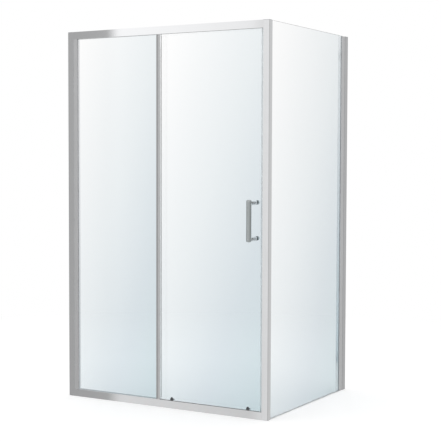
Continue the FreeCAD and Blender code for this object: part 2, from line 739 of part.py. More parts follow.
group("bottom_rail_gaskets", pocket_gaskets("Bottom", "rail_height * 2 / 3"))
group("top_rail_gaskets", pocket_gaskets("Top", "top_rail_foot"))

blocks = []
for side, block_left in (("Left", "pane_left + block_inset"),
                         ("Right", "mullion_left - block_inset - block_length")):
    body = new_body(f"Block{side}")
    outline = rectangle("front_face + rail_wall", "rail_wall", "front_face + pocket_back",
                        "pane_bottom")
    pad(body, "YZ_Plane", [outline], "block_length")
    place(body, block_left)
    blocks.append(body)
group("setting_blocks", blocks)


# ---- corner post, side panel and strike --------------------------------------

slot_left = "side_channel_left - stile_play"
slot_right = "side_channel_right + stile_play"
slot_depth = "side_channel_start - stile_play"
post_outline = [
    ("post_left", "front_face"), ("right_face", "front_face", "post_radius"),
    ("right_face", "back_face"), (slot_right, "back_face"), (slot_right, slot_depth),
    (slot_left, slot_depth), (slot_left, "back_face"), ("post_left", "back_face"),
]
post = upright("corner_post", [post_outline, [
    ("post_left + post_wall", "front_face + post_wall"),
    ("right_face - post_wall", "front_face + post_wall"),
    ("right_face - post_wall", f"{slot_depth} - post_wall"),
    (f"{slot_left} - post_wall", f"{slot_depth} - post_wall"),
    (f"{slot_left} - post_wall", "back_face - post_wall"),
    ("post_left + post_wall", "back_face - post_wall"),
]], "0", "upright_length")
post_screws = [bore(SCREW_HOLE, BOLT_SIDES, "front_face + screw_line", height)
               for height in ("screw_rise", "overall_height - screw_rise")]
pocket(post, "YZ_Plane", "post_wall", post_screws, start="post_left")
keep(post, "corner_post")

post_cap = upright("corner_post_cap", [post_outline], "upright_length", "cap_thickness")
keep(post_cap, "corner_post_cap")

caps = []
for side, cap_outline in (
        ("Front", rectangle("left_wall", "front_face", "channel_edge", "back_face")),
        ("Side", rectangle("right_face - frame_depth", "rear_wall - channel_width",
                           "right_face", "rear_wall"))):
    caps.append(upright(f"ChannelCap{side}", [cap_outline], "upright_length",
                        "cap_thickness"))
group("wall_channel_caps", caps)

side_front_channel = upright("side_front_channel", [[
    ("side_channel_left", "side_channel_start"), ("side_channel_right", "side_channel_start"),
    ("side_channel_right", "back_face"),
    ("side_channel_right - stile_wall", "back_face"),
    ("side_channel_right - stile_wall", "side_channel_start + stile_wall"),
    ("side_channel_left + stile_wall", "side_channel_start + stile_wall"),
    ("side_channel_left + stile_wall", "back_face"),
    ("side_channel_left", "back_face"),
]], "0", "overall_height")
keep(side_front_channel, "side_front_channel")
front_gasket = edge_gasket("side_front_gasket", "back_face - side_pane_front",
                           "overall_height")
place(front_gasket, "side_outer", "side_pane_front", "0", QUARTER_LEFT)

side_glass = upright("side_glass", [rectangle("side_inner", "side_pane_front", "side_outer",
                                              "side_pane_rear")],
                     "side_pane_foot", "overall_height - side_pane_foot")
keep(side_glass, "side_glass")

seal_left = "side_inner - sill_seal_wall"
seal_right = "side_outer + sill_seal_wall"
sill_seal = new_body("side_sill_seal")
pad(sill_seal, "XZ_Plane", [[
    (seal_left, "0"), (seal_right, "0"), (seal_right, "sill_seal_height"),
    ("side_outer", "sill_seal_height"), ("side_outer", "side_pane_foot"),
    ("side_inner", "side_pane_foot"), ("side_inner", "sill_seal_height"),
    (seal_left, "sill_seal_height"),
]], "side_nose - gasket_lip - back_face", start="back_face")
keep(sill_seal, "side_sill_seal")

strike_length = "overall_height - 2 * strike_inset"
leg_front = "magnet_front - strike_leg"
leg_back = "magnet_back + strike_leg"
web = "post_left - strike_wall"
leg_end = "post_left - strike_leg_reach"
strike = upright("strike_profile", [[
    ("side_channel_left", "back_face"), ("side_channel_left", "back_face + strike_wall"),
    ("post_left", "back_face + strike_wall"), ("post_left", leg_back), (leg_end, leg_back),
    (leg_end, "magnet_back"), (web, "magnet_back"), (web, "magnet_front"),
    (leg_end, "magnet_front"), (leg_end, leg_front), (web, leg_front), (web, "back_face"),
]], "strike_inset", strike_length)
keep(strike, "strike_profile")
strike_magnet = upright("strike_magnet", [rectangle("strike_face", "magnet_front", web,
                                                    "magnet_back")],
                        "strike_inset", strike_length)
keep(strike_magnet, "strike_magnet")


# ---- door pane, its stile, its seals -----------------------------------------

door_glass = new_body("door_glass")
pad(door_glass, "XZ_Plane", [rectangle("door_left", "door_foot", "door_right", "door_top")],
    "glass_thickness", start="door_front")
drillings = [bore("glass_hole_radius", HOLE_SIDES, x, height)
             for x in ("roller_left", "roller_right")
             for height in ("bottom_hole_height", "top_hole_height")]
drillings += [bore("handle_screw_radius + handle_hole_play", HOLE_SIDES, "handle_x", height)
              for height in ("handle_low", "handle_high")]
pocket(door_glass, "XZ_Plane", "glass_thickness", drillings, start="door_front")
keep(door_glass, "door_glass")

grip_front = "door_front - interlock_play - interlock_wall"
grip_back = "door_back + interlock_play + interlock_wall"
floor_x = "interlock_left + interlock_wall"
interlock = upright("door_rear_stile", [[
    ("interlock_left", grip_front), ("interlock_leg", grip_front),
    ("interlock_leg", "wiper_back"), ("interlock_leg + interlock_wall", "wiper_back"),
    ("interlock_leg + interlock_wall", grip_front), ("interlock_right", grip_front),
    ("interlock_right", "door_front - interlock_play"),
    (floor_x, "door_front - interlock_play"), (floor_x, "door_back + interlock_play"),
    ("interlock_right", "door_back + interlock_play"), ("interlock_right", grip_back),
    ("interlock_left", grip_back),
]], "interlock_foot", "interlock_length")
keep(interlock, "door_rear_stile")

wiper_left = "interlock_leg + interlock_wall / 2 - wiper_width / 2"
wiper_right = "interlock_leg + interlock_wall / 2 + wiper_width / 2"
wiper = upright("door_rear_wiper", [[
    (wiper_left, "wiper_front", "wiper_width * 0.4"),
    (wiper_right, "wiper_front", "wiper_width * 0.4"),
    (wiper_right, "wiper_back"), (wiper_left, "wiper_back"),
]], "interlock_foot", "interlock_length")
keep(wiper, "door_rear_wiper")

lip_end = "door_right - lock_seal_lap"
magnet_bay = rectangle("door_right + lock_seal_wall", "door_front",
                       "lock_face - lock_seal_wall", "door_back")
lock_seal = upright("door_lock_seal", [[
    (lip_end, "magnet_front"), ("lock_face", "magnet_front"), ("lock_face", "magnet_back"),
    (lip_end, "magnet_back"), (lip_end, "door_back"), ("door_right", "door_back"),
    ("door_right", "door_front"), (lip_end, "door_front"),
], magnet_bay], "strike_inset", strike_length)
keep(lock_seal, "door_lock_seal")
door_magnet = upright("door_magnet", [magnet_bay], "strike_inset", strike_length)
keep(door_magnet, "door_magnet")


# ---- wheels and their axles --------------------------------------------------

RIB_LINE = "front_face + rib_place"
TOP_RIM = "(top_groove_radius + flange_rise)"
HEAD_FRONT = "bearing_front - axle_end_play - axle_head"
HEAD_BACK = "bearing_front - axle_end_play"
COLLAR_FRONT = "bearing_back + axle_end_play"
STUD_END = "nut_seat + cap_nut_height - cap_nut_floor"
SIDES = (("left", "roller_left"), ("right", "roller_right"))


def wheel(label, x, z, groove):
    """A grooved plastic wheel that straddles the rail's rib on its round floor."""
    bearing_seat = bore("bearing_radius + bearing_fit", RING_SIDES)
    rim = polygon(f"{groove} + flange_rise", WHEEL_SIDES)
    groove_front = f"{RIB_LINE} - groove_half"
    body = new_body(label)
    pad(body, "XZ_Plane", [bearing_seat, rim], f"{groove_front} - (wheel_front)",
        start="wheel_front")
    pad(body, "XZ_Plane", [bearing_seat], "2 * groove_half", start=groove_front,
        circles=[("0", "0", groove)])
    pad(body, "XZ_Plane", [bearing_seat, rim], f"{groove_front} - (wheel_front)",
        start=f"{RIB_LINE} + groove_half")
    place(body, x, z=z)
    return keep(body, label)


def bearing(label, x, z):
    """A ball bearing, drawn as one ring."""
    return keep(stack(label, [("axle_radius + axle_fit", "bearing_radius", "bearing_front",
                               "bearing_back")], x, z, RING_SIDES), label)


def glass_bush(name, x, z):
    """A flanged sleeve and a washer that keep metal off the drilled glass."""
    hole, flange = "spigot_radius + bush_play", "eccentric_flange_radius"
    sleeve = stack(f"{name}Sleeve", [
        (hole, flange, "eccentric_back", "door_front"),
        (hole, "glass_hole_radius - bush_play", "door_front", "door_back"),
    ], x, z, RING_SIDES)
    washer = stack(f"{name}Washer", [(hole, flange, "door_back", "nut_seat")], x, z,
                   RING_SIDES)
    return [sleeve, washer]


def cap_nut(name, x, z):
    """A round nut on the stud, closed behind, with a hexagon socket in its face."""
    floor = "nut_seat + cap_nut_height - cap_nut_floor + thread_end_gap"
    nut = stack(name, [("spigot_radius + bush_play", "cap_nut_radius", "nut_seat", floor),
                       (None, "cap_nut_radius", floor, "nut_seat + cap_nut_height")], x, z)
    pocket(nut, "XZ_Plane", "cap_nut_floor / 2", [bore("cap_nut_socket / 2", 6)],
           start="nut_seat + cap_nut_height - cap_nut_floor / 2")
    return nut


def eccentric(label, x):
    """The top axle: its pin stands above the spigot that is clamped in the glass."""
    body = new_body(label)
    steps = (
        ("0", "axle_head_radius", HEAD_FRONT, HEAD_BACK),
        ("0", "axle_radius", HEAD_BACK, COLLAR_FRONT),
        ("0", "axle_collar_radius", COLLAR_FRONT, "eccentric_front"),
        ("-eccentric_offset", "eccentric_flange_radius", "eccentric_front", "eccentric_back"),
        ("-eccentric_offset", "spigot_radius", "eccentric_back", STUD_END),
    )
    for height, radius, start, end in steps:
        pad(body, "XZ_Plane", [polygon(radius, RING_SIDES, "0", height)],
            f"({end}) - ({start})", start=start)
    place(body, x, z="top_axle_height")
    return keep(body, label)


def bottom_axle(label, x):
    """The pin riveted in the slider, with a head that keeps its wheel on."""
    return keep(stack(label, [
        (None, "axle_head_radius", HEAD_FRONT, HEAD_BACK),
        (None, "axle_radius", HEAD_BACK, COLLAR_FRONT),
        (None, "axle_collar_radius", COLLAR_FRONT, "slider_front"),
        (None, "axle_radius", "slider_front", "slider_rear"),
    ], x, "bottom_axle_height", RING_SIDES), label)


def housing(label, x):
    """The bottom roller's housing: clamped to the glass, open in front for its slider."""
    half = "housing_width / 2"
    body = new_body(label)
    pad(body, "XZ_Plane", [[
        (f"-{half}", "housing_foot"), (half, "housing_foot"),
        (half, "housing_top", "housing_radius"), (f"-{half}", "housing_top", "housing_radius"),
    ]], "housing_rear - housing_front", start="housing_front")
    pad(body, "XZ_Plane", [polygon("spigot_radius", RING_SIDES, "0", "bottom_hole_height")],
        f"{STUD_END} - housing_rear", start="housing_rear")
    pocket(body, "XZ_Plane", "cavity_rear - housing_front", [[
        ("-cavity_half", "cavity_foot"), ("cavity_half", "cavity_foot"),
        ("cavity_half", "shoulder_height"), ("throat_half", "shoulder_height"),
        ("throat_half", "housing_top + 1"), ("-throat_half", "housing_top + 1"),
        ("-throat_half", "shoulder_height"), ("-cavity_half", "shoulder_height"),
    ]], start="housing_front")
    place(body, x)
    return keep(body, label)


def slider(label, x):
    """The sliding block that carries the bottom axle, with the release button on top."""
    half, neck = "cavity_half - slider_play", "button_width / 2"
    shoulder = "shoulder_height - slider_play"
    body = new_body(label)
    pad(body, "XZ_Plane", [[
        (f"-({half})", "slider_foot"), (half, "slider_foot"), (half, shoulder),
        (neck, shoulder), (neck, "button_top", "button_radius"),
        (f"-{neck}", "button_top", "button_radius"), (f"-{neck}", shoulder),
        (f"-({half})", shoulder),
    ]], "slider_rear - slider_front", start="slider_front")
    window = rectangle("-spring_window / 2", "slider_foot - 1", "spring_window / 2",
                       "slider_foot + spring_window_height")
    axle_hole = bore("axle_radius + axle_fit", RING_SIDES, "0", "bottom_axle_height")
    pocket(body, "XZ_Plane", "slider_rear - slider_front", [window, axle_hole],
           start="slider_front")
    place(body, x)
    return keep(body, label)


def release_spring(label, x):
    """The envelope of the spring between the housing's floor and the slider."""
    body = new_body(label)
    pad(body, "XY_Plane", [polygon("spring_radius", BOLT_SIDES),
                           polygon("spring_radius - spring_wire", BOLT_SIDES)],
        "slider_foot + spring_window_height - cavity_foot")
    place(body, x, "(slider_front + slider_rear) / 2", "cavity_foot")
    return keep(body, label)


bushes, nuts = {"top": [], "bottom": []}, {"top": [], "bottom": []}
for side, x in SIDES:
    eccentric(f"top_eccentric_{side}", x)
    wheel(f"top_wheel_{side}", x, "top_axle_height", "top_groove_radius")
    bearing(f"top_bearing_{side}", x, "top_axle_height")
    housing(f"bottom_roller_housing_{side}", x)
    slider(f"release_slider_{side}", x)
    release_spring(f"release_spring_{side}", x)
    bottom_axle(f"bottom_axle_{side}", x)
    wheel(f"bottom_wheel_{side}", x, "bottom_axle_height", "bottom_groove_radius")
    bearing(f"bottom_bearing_{side}", x, "bottom_axle_height")
    for level, height in (("top", "top_hole_height"), ("bottom", "bottom_hole_height")):
        bushes[level] += glass_bush(f"Bush{level}{side}", x, height)
        nuts[level].append(cap_nut(f"Nut{level}{side}", x, height))
for level in ("top", "bottom"):
    group(f"{level}_glass_bushes", bushes[level])
    group(f"{level}_cap_nuts", nuts[level])

stop_floor = "top_rail_foot + rail_wall"
stop_slot = "rib_thickness / 2 + stop_play"
stop_slot_top = f"{stop_floor} + rib_height + stop_play"
stops = []
for side, x in (("Left", f"roller_left - door_travel - {TOP_RIM} - running_gap - stop_length"),
                ("Right", f"roller_right + {TOP_RIM} + running_gap")):
    body = new_body(f"Stop{side}")
    pad(body, "YZ_Plane", [[
        (f"{RIB_LINE} - stop_width / 2", stop_floor), (f"{RIB_LINE} - ({stop_slot})", stop_floor),
        (f"{RIB_LINE} - ({stop_slot})", stop_slot_top),
        (f"{RIB_LINE} + {stop_slot}", stop_slot_top), (f"{RIB_LINE} + {stop_slot}", stop_floor),
        (f"{RIB_LINE} + stop_width / 2", stop_floor),
        (f"{RIB_LINE} + stop_width / 2", f"{stop_floor} + stop_height"),
        (f"{RIB_LINE} - stop_width / 2", f"{stop_floor} + stop_height"),
    ]], "stop_length")
    place(body, x)
    stops.append(body)
group("door_stops", stops)


# ---- handle ------------------------------------------------------------------

def bar_piece(name, radii, low, length):
    """A round piece on the bar's axis, with one circle for each radius."""
    body = new_body(name)
    pad(body, "XY_Plane", [], length, circles=[("0", "0", radius) for radius in radii])
    place(body, "handle_x", "handle_y", low)
    return body


bar_low = "handle_height - handle_length / 2"
bar_hole = "handle_radius - handle_wall"
keep(bar_piece("handle_bar", ["handle_radius", bar_hole], bar_low, "handle_length"),
     "handle_bar")
group("handle_end_plugs", [
    bar_piece("PlugLow", [bar_hole], bar_low, "handle_plug"),
    bar_piece("PlugHigh", [bar_hole], "handle_height + handle_length / 2 - handle_plug",
              "handle_plug"),
])

posts, collars, washers, handle_screws, handle_nuts = [], [], [], [], []
screw_hole = "handle_screw_radius + thread_play"
for side, height in (("Low", "handle_low"), ("High", "handle_high")):
    body = new_body(f"HandlePost{side}")
    pad(body, "XZ_Plane", [], "collar_front - handle_y - handle_radius / 2",
        start="handle_y + handle_radius / 2", circles=[("0", "0", "handle_post_radius")])
    pocket(body, "XY_Plane", "3 * handle_radius", start="-1.5 * handle_radius",
           circles=[("0", "handle_y", "handle_radius")])
    pocket(body, "XZ_Plane", "handle_screw_bite", [bore(screw_hole, RING_SIDES)],
           start="collar_front - handle_screw_bite")
    place(body, "handle_x", z=height)
    posts.append(body)
    collars.append(stack(f"HandleCollar{side}", [
        (screw_hole, "handle_collar_radius", "collar_front", "collar_back"),
    ], "handle_x", height))
    washers += [stack(f"FrontWasher{side}", [
        (screw_hole, "handle_collar_radius", "collar_back", "door_front"),
    ], "handle_x", height, RING_SIDES), stack(f"BackWasher{side}", [
        (screw_hole, "handle_nut_radius", "door_back", "handle_nut_front"),
    ], "handle_x", height, RING_SIDES)]
    nut_back = "handle_nut_front + handle_nut_height"
    screw_end = f"{nut_back} - cap_nut_floor"
    handle_screws.append(stack(f"HandleScrew{side}", [
        (None, "handle_screw_radius", "collar_front - handle_screw_bite + thread_end_gap",
         f"{screw_end} - thread_end_gap"),
    ], "handle_x", height, RING_SIDES))
    handle_nuts.append(stack(f"HandleNut{side}", [
        (screw_hole, "handle_nut_radius", "handle_nut_front", screw_end),
        (None, "handle_nut_radius", screw_end, nut_back),
    ], "handle_x", height))
group("handle_posts", posts)
group("handle_collars", collars)
group("handle_washers", washers)
group("handle_screws", handle_screws)
group("handle_nuts", handle_nuts)


# ---- checks and files --------------------------------------------------------

doc.recompute()
for thing in doc.Objects:
    if {"Invalid", "Error"} & set(thing.State):
        raise RuntimeError(f"{thing.Label} failed: {thing.State}")
for label, cut in CUTS:
    if cut.Shape.Volume > cut.BaseFeature.Shape.Volume - 1e-3:
        raise RuntimeError(f"a pocket of {label} cuts nothing")
os.makedirs("parts", exist_ok=True)
for thing in NODES:
    if thing.Shape.isNull() or not thing.Shape.isValid():
        raise RuntimeError(f"{thing.Label} has no valid shape")
for thing in NODES:
    thing.Shape.exportStep(f"parts/{thing.Label}.step")
print(f"{len(NODES)} nodes; door travel {measure('door_travel'):.2f} mm")
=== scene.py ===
import json
import math

import bmesh
import bpy
from bpy.props import FloatProperty, FloatVectorProperty, IntProperty, PointerProperty
from mathutils import Matrix, Vector


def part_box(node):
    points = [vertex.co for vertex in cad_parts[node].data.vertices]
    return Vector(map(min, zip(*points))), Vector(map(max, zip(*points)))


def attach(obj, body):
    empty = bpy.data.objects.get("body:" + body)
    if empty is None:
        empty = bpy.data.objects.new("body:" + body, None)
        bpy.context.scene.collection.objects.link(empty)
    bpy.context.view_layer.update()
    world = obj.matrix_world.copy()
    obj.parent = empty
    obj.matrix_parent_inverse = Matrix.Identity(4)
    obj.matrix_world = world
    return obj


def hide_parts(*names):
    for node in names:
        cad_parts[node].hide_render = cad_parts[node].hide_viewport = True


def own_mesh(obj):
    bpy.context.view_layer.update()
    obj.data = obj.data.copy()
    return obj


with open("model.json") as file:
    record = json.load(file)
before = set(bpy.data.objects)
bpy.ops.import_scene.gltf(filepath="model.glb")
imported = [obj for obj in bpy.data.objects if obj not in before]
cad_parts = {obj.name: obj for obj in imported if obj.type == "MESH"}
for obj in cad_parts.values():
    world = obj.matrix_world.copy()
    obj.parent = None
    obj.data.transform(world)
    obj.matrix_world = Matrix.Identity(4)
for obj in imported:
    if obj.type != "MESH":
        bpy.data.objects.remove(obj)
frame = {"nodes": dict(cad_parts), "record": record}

bl_info = {
    "name": "Shower enclosure finishes",
    "version": (1, 0, 0),
    "blender": (4, 5, 0),
    "location": "View3D > Sidebar > Enclosure",
    "description": "Finished metalwork, panes, seals, rollers and handle for a shower enclosure",
    "category": "Object",
}

MM = 0.001
WHITE = (1, 1, 1, 1)
RECORD = frame["record"]
BODY_OF = {node: body for body, nodes in RECORD["behaviour"]["bodies"].items()
           for node in nodes}
SLOT_OF = {part["node"]: part["material_slot"] for part in RECORD["subparts"]}


# ---- settings ----------------------------------------------------------------

def colour_property(name, description, default):
    """A colour that a user may change."""
    return FloatVectorProperty(name=name, description=description, default=default,
                               subtype="COLOR", size=4, min=0.0, max=1.0)


def length_property(name, description, default):
    """A length in metres."""
    return FloatProperty(name=name, description=description, default=default,
                         unit="LENGTH", min=0.0)


class EnclosureFinishes(bpy.types.PropertyGroup):
    """Colours of the enclosure's materials."""
    aluminium: colour_property("Aluminium", "Polished profiles", (0.90, 0.905, 0.91, 1))
    steel: colour_property("Steel", "Screws, axles and bearings", (0.62, 0.62, 0.61, 1))
    chrome: colour_property("Chrome", "Handle and round nuts", (0.66, 0.705, 0.705, 1))
    rubber: colour_property("Rubber", "Gaskets", (0.66, 0.67, 0.68, 1))
    magnet: colour_property("Magnet strip", "Flexible magnets", (0.55, 0.56, 0.57, 1))
    seal: colour_property("Clear seal", "Soft clear seals", (0.93, 0.945, 0.95, 1))
    dark_plastic: colour_property("Dark plastic", "Roller housings, stops, collars",
                                  (0.07, 0.075, 0.08, 1))
    grey_plastic: colour_property("Grey plastic", "Caps, plugs and bushes",
                                  (0.42, 0.43, 0.44, 1))
    white_plastic: colour_property("White plastic", "Wheels", (0.78, 0.78, 0.75, 1))


class EnclosureSizes(bpy.types.PropertyGroup):
    """Small sizes that only the finished pieces have."""
    metal_edge: length_property("Profile edge", "Rounding of a profile's edges", 0.35 * MM)
    glass_arris: length_property("Glass arris", "Ground edge of a pane", 0.6 * MM)
    glass_relief: length_property("Glass relief", "Air between a pane and its gasket",
                                  0.04 * MM)
    spring_wire: length_property("Spring wire", "Wire of the release springs", 0.42 * MM)
    spring_turns: IntProperty(name="Spring turns", description="Turns of a release spring",
                              default=7, min=2, max=20)
    round_sides: IntProperty(name="Sides", description="Facets round a turned piece",
                             default=64, min=12, max=128)


class EnclosureStage(bpy.types.PropertyGroup):
    """Floor, lamps and backdrop."""
    floor: colour_property("Floor", "Pale floor", (0.80, 0.80, 0.80, 1))
    lens: FloatProperty(name="Lens", description="Camera's focal length", default=94.2,
                        unit="CAMERA", min=20.0)
    lamp_power: FloatProperty(name="Lamp power", description="Power of the key lamp",
                              default=26.0, unit="POWER", min=0.0)
    floor_lift: FloatProperty(name="Floor lift", description="Glow that makes the floor white",
                              default=0.38, min=0.0)
    room_level: FloatProperty(name="Room level", description="Even light of the room",
                              default=0.78, min=0.0)


# ---- node trees --------------------------------------------------------------

def linear(red, green, blue):
    """A display colour, 0 to 255, as a linear one."""
    parts = [c / 255 for c in (red, green, blue)]
    return tuple(c / 12.92 if c <= 0.04045 else ((c + 0.055) / 1.055) ** 2.4
                 for c in parts) + (1.0,)


class Nodes:
    """Adds nodes and links to a node tree."""

    def __init__(self, tree):
        self.tree = tree
        tree.nodes.clear()

    def add(self, kind, values=None, **settings):
        """A node, its settings, and values or links for its inputs."""
        node = self.tree.nodes.new(kind)
        for key, value in settings.items():
            setattr(node, key, value)
        for key, value in (values or {}).items():
            socket = node.inputs[key]
            if isinstance(value, bpy.types.NodeSocket):
                self.tree.links.new(value, socket)
            else:
                socket.default_value = value
        return node

    def ramp(self, fac, stops):
        """A colour ramp over fac."""
        node = self.add("ShaderNodeValToRGB", {"Fac": fac})
        elements = node.color_ramp.elements
        while len(elements) < len(stops):
            elements.new(0.5)
        for element, (place, colour) in zip(elements, stops):
            element.position, element.color = place, colour
        return node.outputs["Color"]

    def maths(self, operation, *values, clamp=False):
        """A Math node."""
        return self.add("ShaderNodeMath", dict(enumerate(values)), operation=operation,
                        use_clamp=clamp).outputs[0]

    def mix(self, share, first, last, **settings):
        """A mix of two colours."""
        return self.add("ShaderNodeMix", {0: share, 6: first, 7: last}, data_type="RGBA",
                        **settings).outputs[2]

    def share(self, value, low, high):
        """How far a value lies from low to high: 0 to 1."""
        return self.add("ShaderNodeMapRange", {"Value": value, "From Min": low,
                                               "From Max": high}).outputs[0]

    def noise(self, vector, scale, detail, roughness=0.5):
        """The value of a noise texture."""
        return self.add("ShaderNodeTexNoise", {
            "Vector": vector, "Scale": scale, "Detail": detail,
            "Roughness": roughness}).outputs["Fac"]


def new_tree(kind, name, inputs, outputs):
    """An empty node group with its input and output nodes. Some inputs have a default."""
    tree = bpy.data.node_groups.new(name, kind + "NodeTree")
    for in_out, sockets in (("INPUT", inputs), ("OUTPUT", outputs)):
        for label, sort, *default in sockets:
            socket = tree.interface.new_socket(label, in_out=in_out,
                                               socket_type="NodeSocket" + sort)
            if default:
                socket.default_value = default[0]
    nodes = Nodes(tree)
    return nodes, nodes.add("NodeGroupInput").outputs, nodes.add("NodeGroupOutput").inputs


# ---- shader groups -----------------------------------------------------------

SURFACE = (("Colour", "Color"), ("Roughness", "Float"), ("Height", "Float"))


def end_surface(nodes, given, out, shade, rough, height):
    """Finish a surface group, its given colour darkened by a shade."""
    tinted = nodes.mix(1.0, given["Colour"], shade, blend_type="MULTIPLY")
    for name, value in (("Colour", tinted), ("Roughness", rough), ("Height", height)):
        nodes.tree.links.new(value, out[name])
    return nodes.tree


def drawn_metal_group():
    """Die lines along a profile, and the slow drift of its polish."""
    nodes, given, out = new_tree("Shader", "Drawn metal", [
        ("Vector", "Vector", (0, 0, 0)), ("Colour", "Color", WHITE),
        ("Roughness", "Float", 0.1), ("Across", "Vector", (900, 900, 4))], SURFACE)
    stretched = nodes.add("ShaderNodeVectorMath", {0: given["Vector"], 1: given["Across"]},
                          operation="MULTIPLY").outputs[0]
    lines = nodes.noise(stretched, 1.0, 3.0, 0.6)
    polish = nodes.noise(given["Vector"], 9.0, 2.0)
    shade = nodes.maths("MULTIPLY_ADD", lines, 0.05, 0.955)
    shade = nodes.maths("MULTIPLY_ADD", polish, 0.03, shade)
    rough = nodes.maths("MULTIPLY_ADD", polish, 0.03, given["Roughness"])
    rough = nodes.maths("MULTIPLY_ADD", lines, 0.02, rough, clamp=True)
    return end_surface(nodes, given, out, shade, rough, lines)


def moulded_group():
    """The fine grain and slight mottling of moulded plastic and rubber."""
    nodes, given, out = new_tree("Shader", "Moulded surface", [
        ("Vector", "Vector", (0, 0, 0)), ("Colour", "Color", WHITE),
        ("Roughness", "Float", 0.4), ("Grain", "Float", 2500.0)], SURFACE)
    grain = nodes.noise(given["Vector"], given["Grain"], 2.0)
    mottle = nodes.noise(given["Vector"], 60.0, 3.0)
    shade = nodes.maths("MULTIPLY_ADD", mottle, 0.16, 0.92)
    rough = nodes.maths("MULTIPLY_ADD", grain, 0.12, given["Roughness"], clamp=True)
    return end_surface(nodes, given, out, shade, rough, grain)


# Painted shade on a pane: its pale blue-grey glass colour deepens from the upper left corner to
# the lower right one, seen from outside, by its place across the pane, by its place down it, and
# by a slow drift.
SHADE_ACROSS, SHADE_DOWN, SHADE_DRIFT = 0.46, 0.54, 0.04
TINT_AND_SHADE_STOPS = ((0.05, linear(255, 255, 255)), (0.46, linear(235, 240, 242)),
         (0.74, linear(216, 225, 230)), (1.0, linear(204, 219, 223)))


def pane_group():
    """A pane's glass colour with its painted shade, over a vector that runs from 0 to 1 across
    it and up it.
    """
    nodes, given, out = new_tree("Shader", "Pane colour and painted shade", [
        ("Vector", "Vector", (0, 0, 0)), ("Paleness", "Float", 0.0)], [("Colour", "Color")])
    parts = nodes.add("ShaderNodeSeparateXYZ", {0: given["Vector"]}).outputs
    # Painted shade: deeper across the pane and further down it.
    down = nodes.maths("SUBTRACT", 1.0, parts["Z"])
    depth = nodes.maths("MULTIPLY", parts["X"], SHADE_ACROSS)
    depth = nodes.maths("MULTIPLY_ADD", down, SHADE_DOWN, depth, clamp=True)
    depth = nodes.maths("SUBTRACT", depth, SHADE_DRIFT / 2)
    depth = nodes.maths("MULTIPLY_ADD", nodes.noise(given["Vector"], 1.6, 1.0), SHADE_DRIFT,
                        depth)
    paler = nodes.mix(given["Paleness"], nodes.ramp(depth, TINT_AND_SHADE_STOPS), WHITE)
    nodes.tree.links.new(paler, out["Colour"])
    return nodes.tree


# ---- materials ---------------------------------------------------------------

GROUPS, MATERIALS = {}, {}
METAL_RELIEF, PLASTIC_RELIEF = 0.05 * MM, 0.1 * MM
ALONG_X, ALONG_Z = (4, 900, 900), (900, 900, 4)

# key, name, colour, roughness, how close the grain's lines lie along each axis, bump
METALS = (
    ("bright_aluminium", "Polished aluminium upright", "aluminium", 0.03, ALONG_Z, 0.04),
    ("aluminium_rail", "Polished aluminium rail", "aluminium", 0.0, ALONG_X, 0.04),
    ("satin_aluminium", "Satin aluminium upright", "aluminium", 0.10, ALONG_Z, 0.04),
    ("steel", "Turned steel", "steel", 0.22, (700, 700, 700), 0.10),
    ("chrome", "Satin chrome", "chrome", 0.14, (60, 60, 60), 0.01),
    ("handle_posts", "Brushed posts", "aluminium", 0.36, (60, 60, 60), 0.01),
)
# key, name, colour, roughness, grain, bump, other values of the shader
PLASTICS = (
    ("grey_rubber", "Grey rubber", "rubber", 0.55, 1800.0, 0.18, {}),
    ("magnet_strip", "Magnet strip", "magnet", 0.50, 1500.0, 0.10, {}),
    ("dark_plastic", "Dark moulded plastic", "dark_plastic", 0.34, 2600.0, 0.14, {}),
    ("grey_plastic", "Grey moulded plastic", "grey_plastic", 0.36, 2600.0, 0.10, {}),
    ("white_plastic", "White wheel plastic", "white_plastic", 0.26, 900.0, 0.05, {}),
    ("clear_seal", "Soft clear seal", "seal", 0.22, 500.0, 0.05,
     {"Transmission Weight": 0.85, "IOR": 1.15}),
)
# node, name, how much paler than the full colour and painted shade; the side pane's painted
# shade is lighter
PANES = (("fixed_glass", "Clear glass of the fixed pane", 0.0),
         ("door_glass", "Clear glass of the door", 0.0),
         ("side_glass", "Clear glass of the side", 0.12))
# What a pane lets through where it casts its shadow.
PANE_SHADOW = (0.93, 0.95, 0.96, 1)


def new_material(name):
    """A material, and the nodes of its empty tree."""
    material = bpy.data.materials.new(name)
    material.use_nodes = True
    return material, Nodes(material.node_tree)


def surface(name, group, values, bump, relief, shader):
    """A material whose colour, roughness and relief come from a shader group."""
    material, nodes = new_material(name)
    place = nodes.add("ShaderNodeTexCoord").outputs["Object"]
    effect = nodes.add("ShaderNodeGroup", {"Vector": place, **values},
                       node_tree=GROUPS[group]).outputs
    raised = nodes.add("ShaderNodeBump", {"Height": effect["Height"], "Strength": bump,
                                          "Distance": relief})
    skin = nodes.add("ShaderNodeBsdfPrincipled", {
        "Base Color": effect["Colour"], "Roughness": effect["Roughness"],
        "Normal": raised.outputs["Normal"], **shader})
    nodes.add("ShaderNodeOutputMaterial", {"Surface": skin.outputs[0]})
    return material


